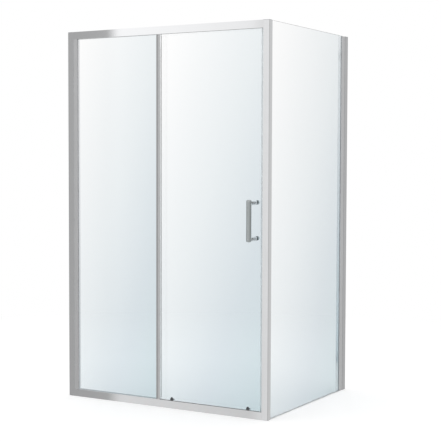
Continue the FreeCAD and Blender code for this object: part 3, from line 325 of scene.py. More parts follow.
def pane_glass(node, name, paleness):
    """Clear glass with its colour and painted shade laid over one pane. A pane runs along X or
    along Y.
    """
    low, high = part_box(node)
    size = high - low
    along = 0 if size.x > size.y else 1
    scale, start = Vector((1, 1, 1 / size.z)), Vector((0, 0, -low.z / size.z))
    scale[along], start.x = 1 / size[along], -low[along] / size[along]
    material, nodes = new_material(name)
    place = nodes.add("ShaderNodeTexCoord").outputs["Object"]
    laid = nodes.add("ShaderNodeMapping", {
        "Vector": place, "Location": start, "Rotation": (0, 0, -along * math.pi / 2),
        "Scale": scale})
    # Painted shade: the pane's glass colour, darker towards its lower right corner.
    tint_and_shade = nodes.add("ShaderNodeGroup", {"Vector": laid.outputs[0], "Paleness": paleness},
                     node_tree=GROUPS["pane"])
    glass = nodes.add("ShaderNodeBsdfPrincipled", {
        "Base Color": tint_and_shade.outputs["Colour"], "Roughness": 0.0, "IOR": 1.45,
        "Transmission Weight": 1.0})
    clear = nodes.add("ShaderNodeBsdfTransparent", {"Color": PANE_SHADOW})
    shadow = nodes.add("ShaderNodeLightPath").outputs["Is Shadow Ray"]
    mixed = nodes.add("ShaderNodeMixShader", {0: shadow, 1: glass.outputs[0],
                                              2: clear.outputs[0]})
    nodes.add("ShaderNodeOutputMaterial", {"Surface": mixed.outputs[0]})
    return material


def give(obj, material):
    """One material for the whole object."""
    obj.data.materials.clear()
    obj.data.materials.append(material)


def material_of(node):
    """The finish of a node."""
    if node in ("top_rail", "bottom_rail"):
        return MATERIALS["aluminium_rail"]
    if node in ("front_stile", "side_stile"):
        return MATERIALS["satin_aluminium"]
    return MATERIALS[node if node in MATERIALS else SLOT_OF[node]]


class SHOWER_OT_finishes(bpy.types.Operator):
    """Build every material, and give one to each piece that stays as it is"""
    bl_idname = "shower.finishes"
    bl_label = "Finishes"

    def execute(self, context):
        look = context.scene.enclosure_finishes
        GROUPS.update(metal=drawn_metal_group(), moulded=moulded_group(), pane=pane_group())
        for key, name, colour, roughness, across, bump in METALS:
            MATERIALS[key] = surface(name, "metal", {
                "Colour": getattr(look, colour), "Roughness": roughness, "Across": across,
            }, bump, METAL_RELIEF, {"Metallic": 1.0})
        for key, name, colour, roughness, grain, bump, shader in PLASTICS:
            MATERIALS[key] = surface(name, "moulded", {
                "Colour": getattr(look, colour), "Roughness": roughness, "Grain": grain,
            }, bump, PLASTIC_RELIEF, shader)
        for node, name, paleness in PANES:
            MATERIALS[node] = pane_glass(node, name, paleness)
        for node, obj in frame["nodes"].items():
            give(obj, material_of(node))
        return {"FINISHED"}


# ---- mesh helpers ------------------------------------------------------------

def in_scene(name, data):
    """A new object in the scene."""
    obj = bpy.data.objects.new(name, data)
    bpy.context.scene.collection.objects.link(obj)
    return obj


def applied(obj, *others):
    """The plain mesh that an object's modifiers make. It and the others are removed."""
    graph = bpy.context.evaluated_depsgraph_get()
    plain = bpy.data.meshes.new_from_object(obj.evaluated_get(graph), depsgraph=graph)
    for spent in (obj, *others):
        bpy.data.objects.remove(spent)
    return plain


def to_mesh(name, shape):
    """A bmesh as mesh data."""
    data = bpy.data.meshes.new(name)
    shape.to_mesh(data)
    shape.free()
    return data


def smooth_faces(mesh):
    """Shade every face smooth."""
    for face in mesh.polygons:
        face.use_smooth = True


def finished(name, mesh, node, edge=0.0, steps=2, angle=35, smooth=True):
    """A finished piece: its edges rounded, its finish on, standing for its node."""
    work = in_scene("work", mesh)
    if edge:
        bevel = work.modifiers.new("Edges", "BEVEL")
        bevel.width, bevel.segments = edge, steps
        bevel.limit_method, bevel.angle_limit = "ANGLE", math.radians(angle)
        bevel.use_clamp_overlap = True
    if smooth:
        smooth_faces(mesh)
        work.modifiers.new("Shading", "WEIGHTED_NORMAL").weight = 60
    piece = in_scene(name, applied(work))
    give(piece, material_of(node))
    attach(piece, BODY_OF[node])
    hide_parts(node)
    return piece


def finished_shape(name, node, shape, edge=0.0, cutters=()):
    """A finished piece from a bmesh, less some closed shapes."""
    mesh = to_mesh(name, shape)
    return finished(name, cut_away(mesh, cutters) if cutters else mesh, node, edge)


def merged_copy(node):
    """A node's mesh with its loose triangles joined and its flat faces made whole."""
    shape = bmesh.new()
    shape.from_mesh(frame["nodes"][node].data)
    bmesh.ops.remove_doubles(shape, verts=shape.verts, dist=1e-6)
    bmesh.ops.dissolve_limit(shape, angle_limit=math.radians(0.5), verts=shape.verts,
                             edges=shape.edges)
    return shape


def soften(edge, steps=2, **pieces):
    """Nodes as they are, each with the small rounding that a real edge has."""
    for name, node in pieces.items():
        finished(name, to_mesh(name, merged_copy(node)), node, edge, steps)


def mirrored(half, total=0):
    """A profile's first half, and its mirror image further along the axis."""
    return half + [(radius, total - along) for radius, along in reversed(half)]


def put(shape, verts, centre, axis):
    """Turn corners that were made round Z to their axis, and move them to their centre."""
    turn = Matrix.Rotation(-math.pi / 2, 4, "X") if axis == "Y" else Matrix.Identity(4)
    bmesh.ops.transform(shape, verts=verts, matrix=Matrix.Translation(Vector(centre)) @ turn)


def turned_shape(profile, centre, axis="Y", shape=None, sides=None):
    """A closed turned shape. The profile is (radius, place along the axis) in millimetres."""
    shape = shape or bmesh.new()
    sides = sides or bpy.context.scene.enclosure_sizes.round_sides
    turns = [2 * math.pi * k / sides for k in range(sides)]
    rings = [[shape.verts.new((radius * MM * math.cos(turn), radius * MM * math.sin(turn),
                               along * MM)) for turn in (turns if radius else turns[:1])]
             for radius, along in profile]
    open_ends = len(rings[0]) == 1 and len(rings[-1]) == 1
    pairs = list(zip(rings, rings[1:])) + ([] if open_ends else [(rings[-1], rings[0])])
    for first, last in pairs:
        for k in range(sides):
            after = (k + 1) % sides
            corners = [first[k % len(first)], last[k % len(last)],
                       last[after % len(last)], first[after % len(first)]]
            corners = list(dict.fromkeys(corners))
            if len(corners) > 2:
                shape.faces.new(corners)
    put(shape, [vert for ring in rings for vert in ring], centre, axis)
    bmesh.ops.recalc_face_normals(shape, faces=shape.faces)
    return shape


def cut_away(mesh, cutters):
    """The mesh less some closed shapes."""
    work = in_scene("work", mesh)
    tools = [in_scene("cutter", to_mesh("cutter", cutter)) for cutter in cutters]
    for tool in tools:
        cut = work.modifiers.new("Cut", "BOOLEAN")
        cut.operation, cut.solver, cut.object = "DIFFERENCE", "EXACT", tool
    return applied(work, *tools)


def hexagon(radius, low, high, centre, axis="Y"):
    """A hexagonal prism, its radius in millimetres across its corners."""
    shape = bmesh.new()
    bmesh.ops.create_cone(shape, cap_ends=True, segments=6, radius1=radius * MM,
                          radius2=radius * MM, depth=(high - low) * MM)
    bmesh.ops.translate(shape, verts=shape.verts, vec=(0, 0, (low + high) / 2 * MM))
    put(shape, shape.verts, centre, axis)
    return shape


def middle(node):
    """The middle of a node's box."""
    low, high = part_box(node)
    return (low + high) / 2


def sides_mm(node):
    """A node's box across X and along Y, in millimetres."""
    low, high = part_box(node)
    return [value / MM for value in (low.x, high.x, low.y, high.y)]


# ---- geometry node trees -----------------------------------------------------

GEOMETRY, MATERIAL = ("Geometry", "Geometry"), ("Material", "Material")
TREES = {}


def end_tree(nodes, geometry, material, out):
    """Finish a tree with Realize Instances and Set Material."""
    real = nodes.add("GeometryNodeRealizeInstances", {0: geometry})
    coated = nodes.add("GeometryNodeSetMaterial", {"Geometry": real.outputs[0],
                                                   "Material": material})
    nodes.tree.links.new(coated.outputs[0], out[0])
    return nodes.tree


def section_tree():
    """A profile's outline, its corners rounded, filled and drawn out along Z."""
    nodes, given, out = new_tree("Geometry", "Drawn section", [
        GEOMETRY, ("Length", "Float", 1.0), ("Corner Radius", "Float", 0.3 * MM),
        ("Corner Steps", "Int", 3), MATERIAL], [GEOMETRY])
    line = nodes.add("GeometryNodeMeshToCurve", {"Mesh": given["Geometry"]})
    soft = nodes.add("GeometryNodeFilletCurve", {
        "Curve": line.outputs[0], "Count": given["Corner Steps"],
        "Radius": given["Corner Radius"], "Limit Radius": True}, mode="POLY")
    face = nodes.add("GeometryNodeFillCurve", {"Curve": soft.outputs[0]}, mode="TRIANGLES")
    drawn_out = nodes.add("GeometryNodeExtrudeMesh", {
        "Mesh": face.outputs[0], "Offset": (0.0, 0.0, 1.0), "Offset Scale": given["Length"],
        "Individual": False}, mode="FACES")
    foot = nodes.add("GeometryNodeFlipFaces", {"Mesh": face.outputs[0]})
    both = nodes.add("GeometryNodeJoinGeometry")
    for part in (foot, drawn_out):
        nodes.tree.links.new(part.outputs[0], both.inputs[0])
    joined = nodes.add("GeometryNodeMergeByDistance", {"Geometry": both.outputs[0],
                                                       "Distance": 1e-6})
    return end_tree(nodes, joined.outputs[0], given["Material"], out)


def fastener_tree():
    """One fastener on each point, with its head turned along the point's own direction."""
    nodes, given, out = new_tree("Geometry", "Fasteners", [
        GEOMETRY, ("Fastener", "Object"), MATERIAL], [GEOMETRY])
    facing = nodes.add("GeometryNodeInputNamedAttribute", {"Name": "facing"},
                       data_type="FLOAT_VECTOR")
    turn = nodes.add("FunctionNodeAlignRotationToVector", {"Vector": facing.outputs[0]},
                     axis="Z")
    pattern = nodes.add("GeometryNodeObjectInfo", {"Object": given["Fastener"]},
                        transform_space="ORIGINAL")
    placed = nodes.add("GeometryNodeInstanceOnPoints", {
        "Points": given["Geometry"], "Instance": pattern.outputs["Geometry"],
        "Rotation": turn.outputs[0]})
    return end_tree(nodes, placed.outputs[0], given["Material"], out)


def coil_tree():
    """A wire spring that stands on its point."""
    nodes, given, out = new_tree("Geometry", "Coil", [
        GEOMETRY, ("Turns", "Float", 7.0), ("Radius", "Float", 1.4 * MM),
        ("Height", "Float", 12 * MM), ("Wire", "Float", 0.4 * MM), MATERIAL], [GEOMETRY])
    spiral = nodes.add("GeometryNodeCurveSpiral", {
        "Resolution": 20, "Rotations": given["Turns"], "Start Radius": given["Radius"],
        "End Radius": given["Radius"], "Height": given["Height"]})
    ring = nodes.add("GeometryNodeCurvePrimitiveCircle", {"Resolution": 10,
                                                          "Radius": given["Wire"]})
    wire = nodes.add("GeometryNodeCurveToMesh", {
        "Curve": spiral.outputs[0], "Profile Curve": ring.outputs["Curve"],
        "Fill Caps": True})
    smooth = nodes.add("GeometryNodeSetShadeSmooth", {"Geometry": wire.outputs[0]})
    placed = nodes.add("GeometryNodeInstanceOnPoints", {"Points": given["Geometry"],
                                                        "Instance": smooth.outputs[0]})
    return end_tree(nodes, placed.outputs[0], given["Material"], out)


def grown(tree, source, **values):
    """The plain mesh that a geometry tree makes of a source mesh."""
    work = in_scene("work", source)
    modifier = work.modifiers.new("Nodes", "NODES")
    modifier.node_group = tree
    for item in tree.interface.items_tree:
        key = item.name.replace(" ", "_").lower()
        if item.in_out == "INPUT" and key in values:
            modifier[item.identifier] = values[key]
    return applied(work)


def points_mesh(places, facings=()):
    """A mesh of single points, each with a direction."""
    mesh = bpy.data.meshes.new("points")
    mesh.from_pydata([tuple(place) for place in places], [], [])
    if facings:
        attribute = mesh.attributes.new("facing", "FLOAT_VECTOR", "POINT")
        for item, facing in zip(attribute.data, facings):
            item.vector = facing
    return mesh


def drawn(name, node, outlines, length, move, bevelled=False):
    """A drawn profile. Its outlines are in millimetres, and move puts it in its place.

    Its corners are rounded in the section, or by a bevel where the section has arcs.
    """
    corners, edges = [], []
    for outline in outlines:
        first, count = len(corners), len(outline)
        corners += [(x * MM, y * MM, 0) for x, y in outline]
        edges += [(first + k, first + (k + 1) % count) for k in range(count)]
    source = bpy.data.meshes.new(name)
    source.from_pydata(corners, edges, [])
    edge = bpy.context.scene.enclosure_sizes.metal_edge
    mesh = grown(TREES["section"], source, length=length, material=material_of(node),
                 corner_radius=0.0 if bevelled else edge)
    mesh.transform(move)
    finished(name, mesh, node, edge if bevelled else 0.0)


def upright(name, node, outlines, bevelled=False):
    """A drawn profile that stands where its node does."""
    low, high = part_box(node)
    drawn(name, node, outlines, high.z - low.z, Matrix.Translation((0, 0, low.z)), bevelled)


def quarter_arc(x, y, radius, steps=12):
    """Points of the arc from below a centre to its right."""
    turns = [math.pi / 2 * (k / steps - 1) for k in range(steps + 1)]
    return [(x + radius * math.cos(turn), y + radius * math.sin(turn)) for turn in turns]


# ---- operators for the pieces ------------------------------------------------

class SHOWER_OT_trees(bpy.types.Operator):
    """Build the geometry trees that the other pieces use"""
    bl_idname = "shower.trees"
    bl_label = "Trees"

    def execute(self, context):
        TREES.update(section=section_tree(), fastener=fastener_tree(), coil=coil_tree())
        return {"FINISHED"}


# Turns a section so that it is drawn out along X.
ALONG_FRONT = Matrix(((0, 0, 1, 0), (1, 0, 0, 0), (0, 1, 0, 0), (0, 0, 0, 1)))


class SHOWER_OT_rails(bpy.types.Operator):
    """Both rails, drawn out from their section, with the rib that the wheels run on"""
    bl_idname = "shower.rails"
    bl_label = "Rails"

    def execute(self, context):
        depth, height, wall = 30, 38, 1.8
        drip, pocket, rib, rib_tip = 5, 13.5, 22, 31
        section = [
            (0, 0), (depth, 0), (depth, drip), (depth - wall, drip), (depth - wall, wall),
            (pocket + wall, wall), (pocket + wall, height - wall), (rib - 1, height - wall),
            (rib - 1, rib_tip), (rib + 1, rib_tip), (rib + 1, height - wall),
            (depth, height - wall), (depth, height), (pocket, height), (pocket, wall),
            (wall, wall), (wall, height), (0, height)]
        for node, name in (("bottom_rail", "rail_bottom"), ("top_rail", "rail_top")):
            low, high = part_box(node)
            outline, foot = section, low
            if node == "top_rail":
                outline = [(y, height - z) for y, z in reversed(section)]
                foot = Vector((low.x, low.y, high.z - height * MM))
            drawn(name, node, [outline], high.x - low.x,
                  Matrix.Translation(foot) @ ALONG_FRONT)
        return {"FINISHED"}


class SHOWER_OT_uprights(bpy.types.Operator):
    """Wall channels, stiles, mullion, corner post, strike and the door's rear stile"""
    bl_idname = "shower.uprights"
    bl_label = "Uprights"

    def execute(self, context):
        edge = context.scene.enclosure_sizes.metal_edge
        soften(edge, channel_front="front_wall_channel", channel_side="side_wall_channel",
               stile_front="front_stile", stile_side="side_stile",
               brackets_rail="rail_brackets")
        self.mullion(wall=1.4, ridge=1)
        self.post(wall=1.8, radius=2, play=0.4)
        soften(0.4 * MM, channel_caps="wall_channel_caps")
        soften(edge, channel_corner="side_front_channel", strike_drawn="strike_profile",
               stile_door="door_rear_stile")
        return {"FINISHED"}

    def mullion(self, wall, ridge):
        """A channel open to the left, with a ridge along the middle of its face."""
        x0, x1, y0, y1 = sides_mm("mullion")
        upright("mullion_drawn", "mullion", [[
            (x0, y0 + ridge), ((x0 + x1) / 2, y0), (x1, y0 + ridge), (x1, y1), (x0, y1),
            (x0, y1 - wall), (x1 - wall, y1 - wall), (x1 - wall, y0 + ridge + wall),
            (x0, y0 + ridge + wall)]])

    def post(self, wall, radius, play):
        """A box with one soft corner and a slot for the side pane's channel, and its cap."""
        x0, x1, y0, y1 = sides_mm("corner_post")
        slot_left, slot_right, floor, _ = sides_mm("side_front_channel")
        s0, s1, floor = slot_left - play, slot_right + play, floor - play
        outer = [(x0, y0), *quarter_arc(x1 - radius, y0 + radius, radius), (x1, y1),
                 (s1, y1), (s1, floor), (s0, floor), (s0, y1), (x0, y1)]
        inner = [(x0 + wall, y0 + wall), (x1 - wall, y0 + wall), (x1 - wall, floor - wall),
                 (s0 - wall, floor - wall), (s0 - wall, y1 - wall), (x0 + wall, y1 - wall)]
        upright("post_drawn", "corner_post", [outer, inner], bevelled=True)
        upright("post_cap", "corner_post_cap", [outer], bevelled=True)


class SHOWER_OT_panes(bpy.types.Operator):
    """The three glass panes, with ground and polished edges"""
    bl_idname = "shower.panes"
    bl_label = "Panes"

    def execute(self, context):
        sizes = context.scene.enclosure_sizes
        for node, name in (("fixed_glass", "pane_fixed"), ("side_glass", "pane_side"),
                           ("door_glass", "pane_door")):
            shape, centre = merged_copy(node), middle(node)
            low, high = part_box(node)
            thin = min(range(3), key=lambda k: high[k] - low[k])
            share = 1 - 2 * sizes.glass_relief / (high[thin] - low[thin])
            for vert in shape.verts:
                vert.co[thin] = centre[thin] + (vert.co[thin] - centre[thin]) * share
            finished(name, to_mesh(name, shape), node, sizes.glass_arris, steps=1, angle=60,
                     smooth=False)
        return {"FINISHED"}


class SHOWER_OT_seals(bpy.types.Operator):
    """Rubber gaskets, clear seals and magnet strips"""
    bl_idname = "shower.seals"
    bl_label = "Seals"

    def execute(self, context):
        soften(0.25 * MM, gasket_front="front_stile_gasket", gasket_side="side_stile_gasket",
               gasket_corner="side_front_gasket", seal_sill="side_sill_seal",
               seal_lock="door_lock_seal", magnet_strike="strike_magnet",
               magnet_door="door_magnet", wiper_door="door_rear_wiper")
        return {"FINISHED"}


# The turned parts of the running gear, in millimetres. Wheels and bearings are given
# from their middle, which lies this far behind the frame's zero plane.
WHEEL_LINE = 7
# The radius at the bottom of a wheel's groove.
GROOVES = (("top", 9.5), ("bottom", 8.0))
BEARING = mirrored([(2.54, -2.5), (3.64, -2.5), (3.64, -2.1), (5.4, -2.1), (5.4, -2.5),
                    (6.5, -2.5)])
HEADED_PIN = [(0, 3.3), (3.4, 3.3), (4, 3.7), (4, 4.4), (2.5, 4.4), (2.5, 9.6), (3.6, 9.6)]
# A top wheel's spigot goes through the glass this far below the wheel's axis.
SPIGOT = [(0, 16.1), (9.5, 16.1), (9.5, 20.9), (5, 20.9), (5, 32.1), (0, 32.1)]
SPIGOT_DROP = 2.5


class SHOWER_OT_rollers(bpy.types.Operator):
    """Wheels, bearings, axles, bushes and round nuts"""
    bl_idname = "shower.rollers"
    bl_label = "Rollers"

    def execute(self, context):
        for side in ("left", "right"):
            for level, groove in GROOVES:
                x, _, z = middle(f"{level}_wheel_{side}")
                centre = (x, WHEEL_LINE * MM, z)
                finished_shape(f"wheel_{level}_{side}", f"{level}_wheel_{side}",
                               turned_shape(self.wheel(groove), centre), 0.12 * MM)
                finished_shape(f"bearing_{level}_{side}", f"{level}_bearing_{side}",
                               turned_shape(BEARING, centre), 0.1 * MM)
            self.eccentric(side)
            self.axle(side)
        for level in ("top", "bottom"):
            self.nuts(level)
            self.bushes(level)
        return {"FINISHED"}

    def wheel(self, groove):
        """The profile of a grooved wheel with a sunk web on each face."""
        rim, half, bore = groove + 2.5, 4, 6.52
        web = half - 0.5
        return mirrored([
            (bore, -half), (7.3, -half), (7.6, -web), (rim - 1.5, -web), (rim - 1.2, -half),
            (rim - 0.3, -half), (rim, -3.7), (rim, -2.2), (groove, -1.3)])

    def eccentric(self, side):
        """The pin on the wheel's axis and the spigot below it, clamped in the glass."""
        x, _, z = middle(f"top_wheel_{side}")
        shape = turned_shape(HEADED_PIN + [(3.6, 16.2), (0, 16.2)], (x, 0, z))
        turned_shape(SPIGOT, (x, 0, z - SPIGOT_DROP * MM), shape=shape)
        finished_shape(f"eccentric_{side}", f"top_eccentric_{side}", shape, 0.15 * MM)

    def axle(self, side):
        """The headed pin of a bottom wheel."""
        node, shoulder = f"bottom_axle_{side}", 15.85
        end = sides_mm(node)[3]
        x, _, z = middle(f"bottom_wheel_{side}")
        pin = HEADED_PIN + [(3.6, shoulder), (2.5, shoulder), (2.5, end), (0, end)]
        finished_shape(f"axle_{side}", node, turned_shape(pin, (x, 0, z)), 0.15 * MM)

    def nuts(self, level):
        """Round nuts with a rolled edge and a hexagon socket, closed behind."""
        node, radius, bore, height, floor = f"{level}_cap_nuts", 11, 5.1, 7, 2.6
        low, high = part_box(node)
        face = high.y / MM
        profile = [(bore, face - height), (radius - 0.6, face - height),
                   (radius, face - 6.4), (radius, face - 1.8), (radius - 0.3, face - 0.9),
                   (radius - 1, face - 0.3), (radius - 2, face), (0, face),
                   (0, face - floor), (bore, face - floor)]
        shape, sockets = bmesh.new(), []
        for x in (low.x + radius * MM, high.x - radius * MM):
            centre = (x, 0, (low.z + high.z) / 2)
            turned_shape(profile, centre, shape=shape)
            sockets.append(hexagon(2.89, face - 1.5, face + 1, centre))
        finished_shape(f"nuts_{level}", node, shape, 0.12 * MM, sockets)

    def bushes(self, level):
        """Flanged sleeves and washers between the metal and the glass."""
        node, flange, bore, sleeve, thick = f"{level}_glass_bushes", 9.5, 5.1, 6.9, 0.6
        low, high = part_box(node)
        front, back = low.y / MM, high.y / MM
        shape = bmesh.new()
        for x in (low.x + flange * MM, high.x - flange * MM):
            for profile in ([(bore, front), (flange, front), (flange, front + thick),
                             (sleeve, front + thick), (sleeve, back - thick),
                             (bore, back - thick)],
                            [(bore, back - thick), (flange, back - thick), (flange, back),
                             (bore, back)]):
                turned_shape(profile, (x, 0, (low.z + high.z) / 2), shape=shape)
        finished_shape(f"bushes_{level}", node, shape, 0.1 * MM)


class SHOWER_OT_release(bpy.types.Operator):
    """Housings, sliders and springs of the bottom rollers, and the door stops"""
    bl_idname = "shower.release"
    bl_label = "Release gear"

    def execute(self, context):
        for side in ("left", "right"):
            soften(0.5 * MM, 3, **{f"housing_{side}": f"bottom_roller_housing_{side}"})
            soften(0.4 * MM, 3, **{f"slider_{side}": f"release_slider_{side}"})
            self.spring(side, context.scene.enclosure_sizes)
        soften(0.5 * MM, 3, stops_door="door_stops")
        return {"FINISHED"}

    def spring(self, side, sizes):
        """A coil standing at rest in the spring's place, as before its button goes down."""
        node, name, travel = f"release_spring_{side}", f"spring_{side}", 5 * MM
        low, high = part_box(node)
        height, wire = high.z - low.z, sizes.spring_wire / 2
        place = Vector(((low.x + high.x) / 2, (low.y + high.y) / 2, low.z + wire))
        mesh = grown(TREES["coil"], points_mesh([place]), turns=float(sizes.spring_turns),
                     radius=(high.x - low.x) / 2 - wire, wire=wire,
                     height=height - 2 * wire, material=material_of(node))
        spring = finished(name, mesh, node, smooth=False)
        smooth_faces(spring.data)
        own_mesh(spring)


class SHOWER_OT_screws(bpy.types.Operator):
    """Pan-head screws of the rails and of the wall channels"""
    bl_idname = "shower.screws"
    bl_label = "Screws"

    def execute(self, context):
        for node, name in (("rail_screws", "screws_rail"),
                           ("channel_lock_screws", "screws_channel")):
            places, facings, lengths = zip(*self.seats(node))
            pattern = in_scene("screw_pattern", self.screw(max(lengths)))
            mesh = grown(TREES["fastener"], points_mesh(places, facings), fastener=pattern,
                         material=material_of(node))
            bpy.data.objects.remove(pattern)
            finished(name, mesh, node)
        return {"FINISHED"}

    def islands(self, shape):
        """The corners of each separate solid."""
        left = dict.fromkeys(shape.verts)
        while left:
            island, queue = [], [next(iter(left))]
            while queue:
                vert = queue.pop()
                if vert in left:
                    del left[vert]
                    island.append(vert.co.copy())
                    queue += [edge.other_vert(vert) for edge in vert.link_edges]
            yield island

    def seats(self, node):
        """Where each screw's head sits, which way it faces, and how long the screw is."""
        shape, found = merged_copy(node), []
        widest_shank = 3 * MM
        for island in self.islands(shape):
            low = Vector([min(p[k] for p in island) for k in range(3)])
            high = Vector([max(p[k] for p in island) for k in range(3)])
            size, centre = high - low, (low + high) / 2
            # The head is square to the screw's axis: its box is as wide both ways.
            axis = min(range(3), key=lambda k: abs(size[k - 2] - size[k - 1]))
            across = [k for k in range(3) if k != axis]
            head = [p[axis] for p in island
                    if max(abs(p[k] - centre[k]) for k in across) > widest_shank]
            up = 1 if sum(head) / len(head) > centre[axis] else -1
            place, facing = centre.copy(), Vector((0, 0, 0))
            place[axis], facing[axis] = (min if up > 0 else max)(head), up
            found.append((place, facing, size[axis] / MM))
        shape.free()
        return found

    def screw(self, length):
        """One pan-head screw with a hexagon recess and a thread, its head's seat at zero."""
        head, thread, root, pitch = 2.4, 1.95, 1.55, 0.7
        end = head - length
        profile = [(0, end), (1.2, end), (1.9, end + 0.7)]
        turn = end + 0.9
        while turn < -0.9:
            profile += [(root, turn), (thread, turn + pitch / 2)]
            turn += pitch
        profile += [(thread, -0.3), (thread, 0), (3.75, 0), (3.75, 0.7), (3.5, 1.4),
                    (2.9, 2.0), (2.1, 2.35), (0, head)]
        shape = turned_shape(profile, (0, 0, 0), axis="Z", sides=24)
        recess = hexagon(1.3, head / 2, 3 * head / 2, (0, 0, 0), axis="Z")
        return cut_away(to_mesh("screw", shape), [recess])


class SHOWER_OT_handle(bpy.types.Operator):
    """The door's bar, its posts, collars, washers and the nuts inside"""
    bl_idname = "shower.handle"
    bl_label = "Handle"

    def execute(self, context):
        low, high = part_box("handle_bar")
        self.foot = ((low.x + high.x) / 2, (low.y + high.y) / 2, low.z)
        self.radius, self.length = (high.x - low.x) / 2 / MM, (high.z - low.z) / MM
        self.bar(wall=1.5, plug=3, crown=7)
        self.fixings(bore=3.05, washer=0.8)
        return {"FINISHED"}

    def bar(self, wall, plug, crown):
        """The tube and the plugs in its ends. The crown is the radius of the bar's ends."""
        hole, length = self.radius - wall, self.length
        seam = math.asin(1 - wall / crown)

        def rounded(start, stop, steps=5):
            turns = [start + (stop - start) * k / steps for k in range(steps + 1)]
            return [(self.radius - crown + crown * math.sin(turn),
                     crown - crown * math.cos(turn)) for turn in turns]

        tube = turned_shape(mirrored(rounded(seam, math.pi / 2), length), self.foot, "Z")
        finished_shape("bar", "handle_bar", tube)
        end = [(0, 0), *rounded(0, seam), (hole, plug), (0, plug)]
        plugs = turned_shape(end, self.foot, "Z")
        turned_shape([(r, length - z) for r, z in reversed(end)], self.foot, "Z", plugs)
        finished_shape("bar_plugs", "handle_end_plugs", plugs)

    def fixings(self, bore, washer):
        """The posts, and what clamps them to the glass."""
        low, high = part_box("handle_posts")
        post = (high.x - low.x) / 2 / MM
        left, right, front, _ = sides_mm("handle_collars")
        ring = (right - left) / 2
        _, _, glass, back = sides_mm("door_glass")
        face = sides_mm("handle_nuts")[3]
        collar_end, nut_end, pad = glass - washer, back + washer, ring - 0.2
        # The posts start inside the bar, and the bar's own shape is cut from them.
        root = self.foot[1] / MM + 4
        profiles = (
            ("posts", [(0, root), (post, root), (post, front - 1), (post - 0.3, front - 0.4),
                       (post - 1, front), (0, front)]),
            ("collars", [(bore, front), (ring - 1.2, front), (ring - 1.2, front + 0.8),
                         (ring, front + 1.4), (ring, collar_end), (bore, collar_end)]),
            ("washers", [(bore, collar_end), (pad, collar_end), (pad, glass), (bore, glass)]),
            ("washers", [(bore, back), (pad, back), (pad, nut_end), (bore, nut_end)]),
            ("nuts", [(bore, nut_end), (ring - 0.4, nut_end), (ring, nut_end + 0.4),
                      (ring, face - 1.8), (ring - 0.4, face - 0.8), (ring - 1.2, face - 0.2),
                      (ring - 2, face), (0, face), (0, face - 3), (bore, face - 3)]))
        shapes = {name: bmesh.new() for name, _ in profiles}
        sockets = []
        for z in (low.z + post * MM, high.z - post * MM):
            centre = (self.foot[0], 0, z)
            for name, profile in profiles:
                turned_shape(profile, centre, shape=shapes[name])
            sockets.append(hexagon(2.31, face - 1.6, face + 1, centre))
        past = 20
        bar = turned_shape([(0, -past), (self.radius, -past),
                            (self.radius, self.length + past), (0, self.length + past)],
                           self.foot, "Z")
        for name, edge, cutters in (("posts", 0.12, [bar]), ("collars", 0.25, ()),
                                    ("washers", 0.12, ()), ("nuts", 0.15, sockets)):
            finished_shape(f"bar_{name}", f"handle_{name}", shapes[name], edge * MM, cutters)


# ---- stage -------------------------------------------------------------------

EYE, YAW, PITCH, ROLL = (3.125, -4.831, 1.243), 30.15, 3.02, 0.17
LAMP_SIZE, LAMP_AIM = 3.0, (0, 0.4, 0.9)
LAMPS = (("Key", (-2.6, -3.4, 4.4), 1.0), ("Fill", (4.2, -1.6, 3.2), 0.6),
         ("Back", (0.8, 4.6, 3.8), 0.5))

# The room that the metal mirrors: how far round it each band's edge stands, and how bright
# it is there. Dark walls stand between a wide soft light and a narrow bright one, near
# each other, and a dimmer one further round.
ROOM_BANDS = (
    (0.0, 0.32), (0.1445, 0.40), (0.1507, 0.44),
    (0.1520, 0.98), (0.1526, 1.04), (0.1648, 0.955), (0.1705, 0.90),
    (0.1719, 0.79), (0.1730, 0.79),
    (0.1785, 1.25), (0.1842, 1.25), (0.1860, 0.44),
    (0.21, 0.53), (0.36, 0.57), (0.56, 0.28), (0.632, 0.25),
    (0.64, 0.95), (0.661, 0.85), (0.666, 0.63), (0.6745, 0.63),
    (0.68, 0.48), (0.686, 0.44), (0.70, 0.78), (0.86, 0.60),
)
# From below the room to above it, past the bands.
ROOM_POLES = ((0.0, 0.50), (0.3, 0.74), (0.5, 0.66), (0.8, 0.92), (1.0, 0.94))
# The rails mirror the first of these parts of the ring, and the post's side the second. A
# ramp is too coarse for their bands, so its scale gives them a half and a quarter of it,
# and all the rest of the ring shares the last quarter.
FRONT, SIDE = (0.14, 0.20), (0.63, 0.70)
REST = 0.25 / (1 - FRONT[1] + FRONT[0] - SIDE[1] + SIDE[0])
FRONT_ROOM = 0.5 - REST * (FRONT[1] - FRONT[0])
SIDE_ROOM = 0.25 - REST * (SIDE[1] - SIDE[0])
# Below, the wide light is a good deal dimmer, and everything else a little.
WIDE_LIGHT, DIM_LIGHT, DIM_WALL = (0.151, 0.1712), 0.69, 0.92
# The heights, as a ray's own Z, where the lower half turns to the upper one, and where
# the bands turn to the poles.
HALVES_MEET, POLES_MEET = (-0.21, 0.11), (0.30, 0.65)


def lower_share(place):
    """How bright the room's lower half is, next to its upper half."""
    return DIM_LIGHT if WIDE_LIGHT[0] < place < WIDE_LIGHT[1] else DIM_WALL


def grey(level, cool=0.006):
    """A grey of that level, with a little more blue."""
    return level, level, level * (1 + cool), 1.0


def spread(place):
    """A place on the ring, on the ramp's own scale."""
    front, side = (min(max((place - low) / (high - low), 0), 1) for low, high in (FRONT, SIDE))
    return place * REST + front * FRONT_ROOM + side * SIDE_ROOM


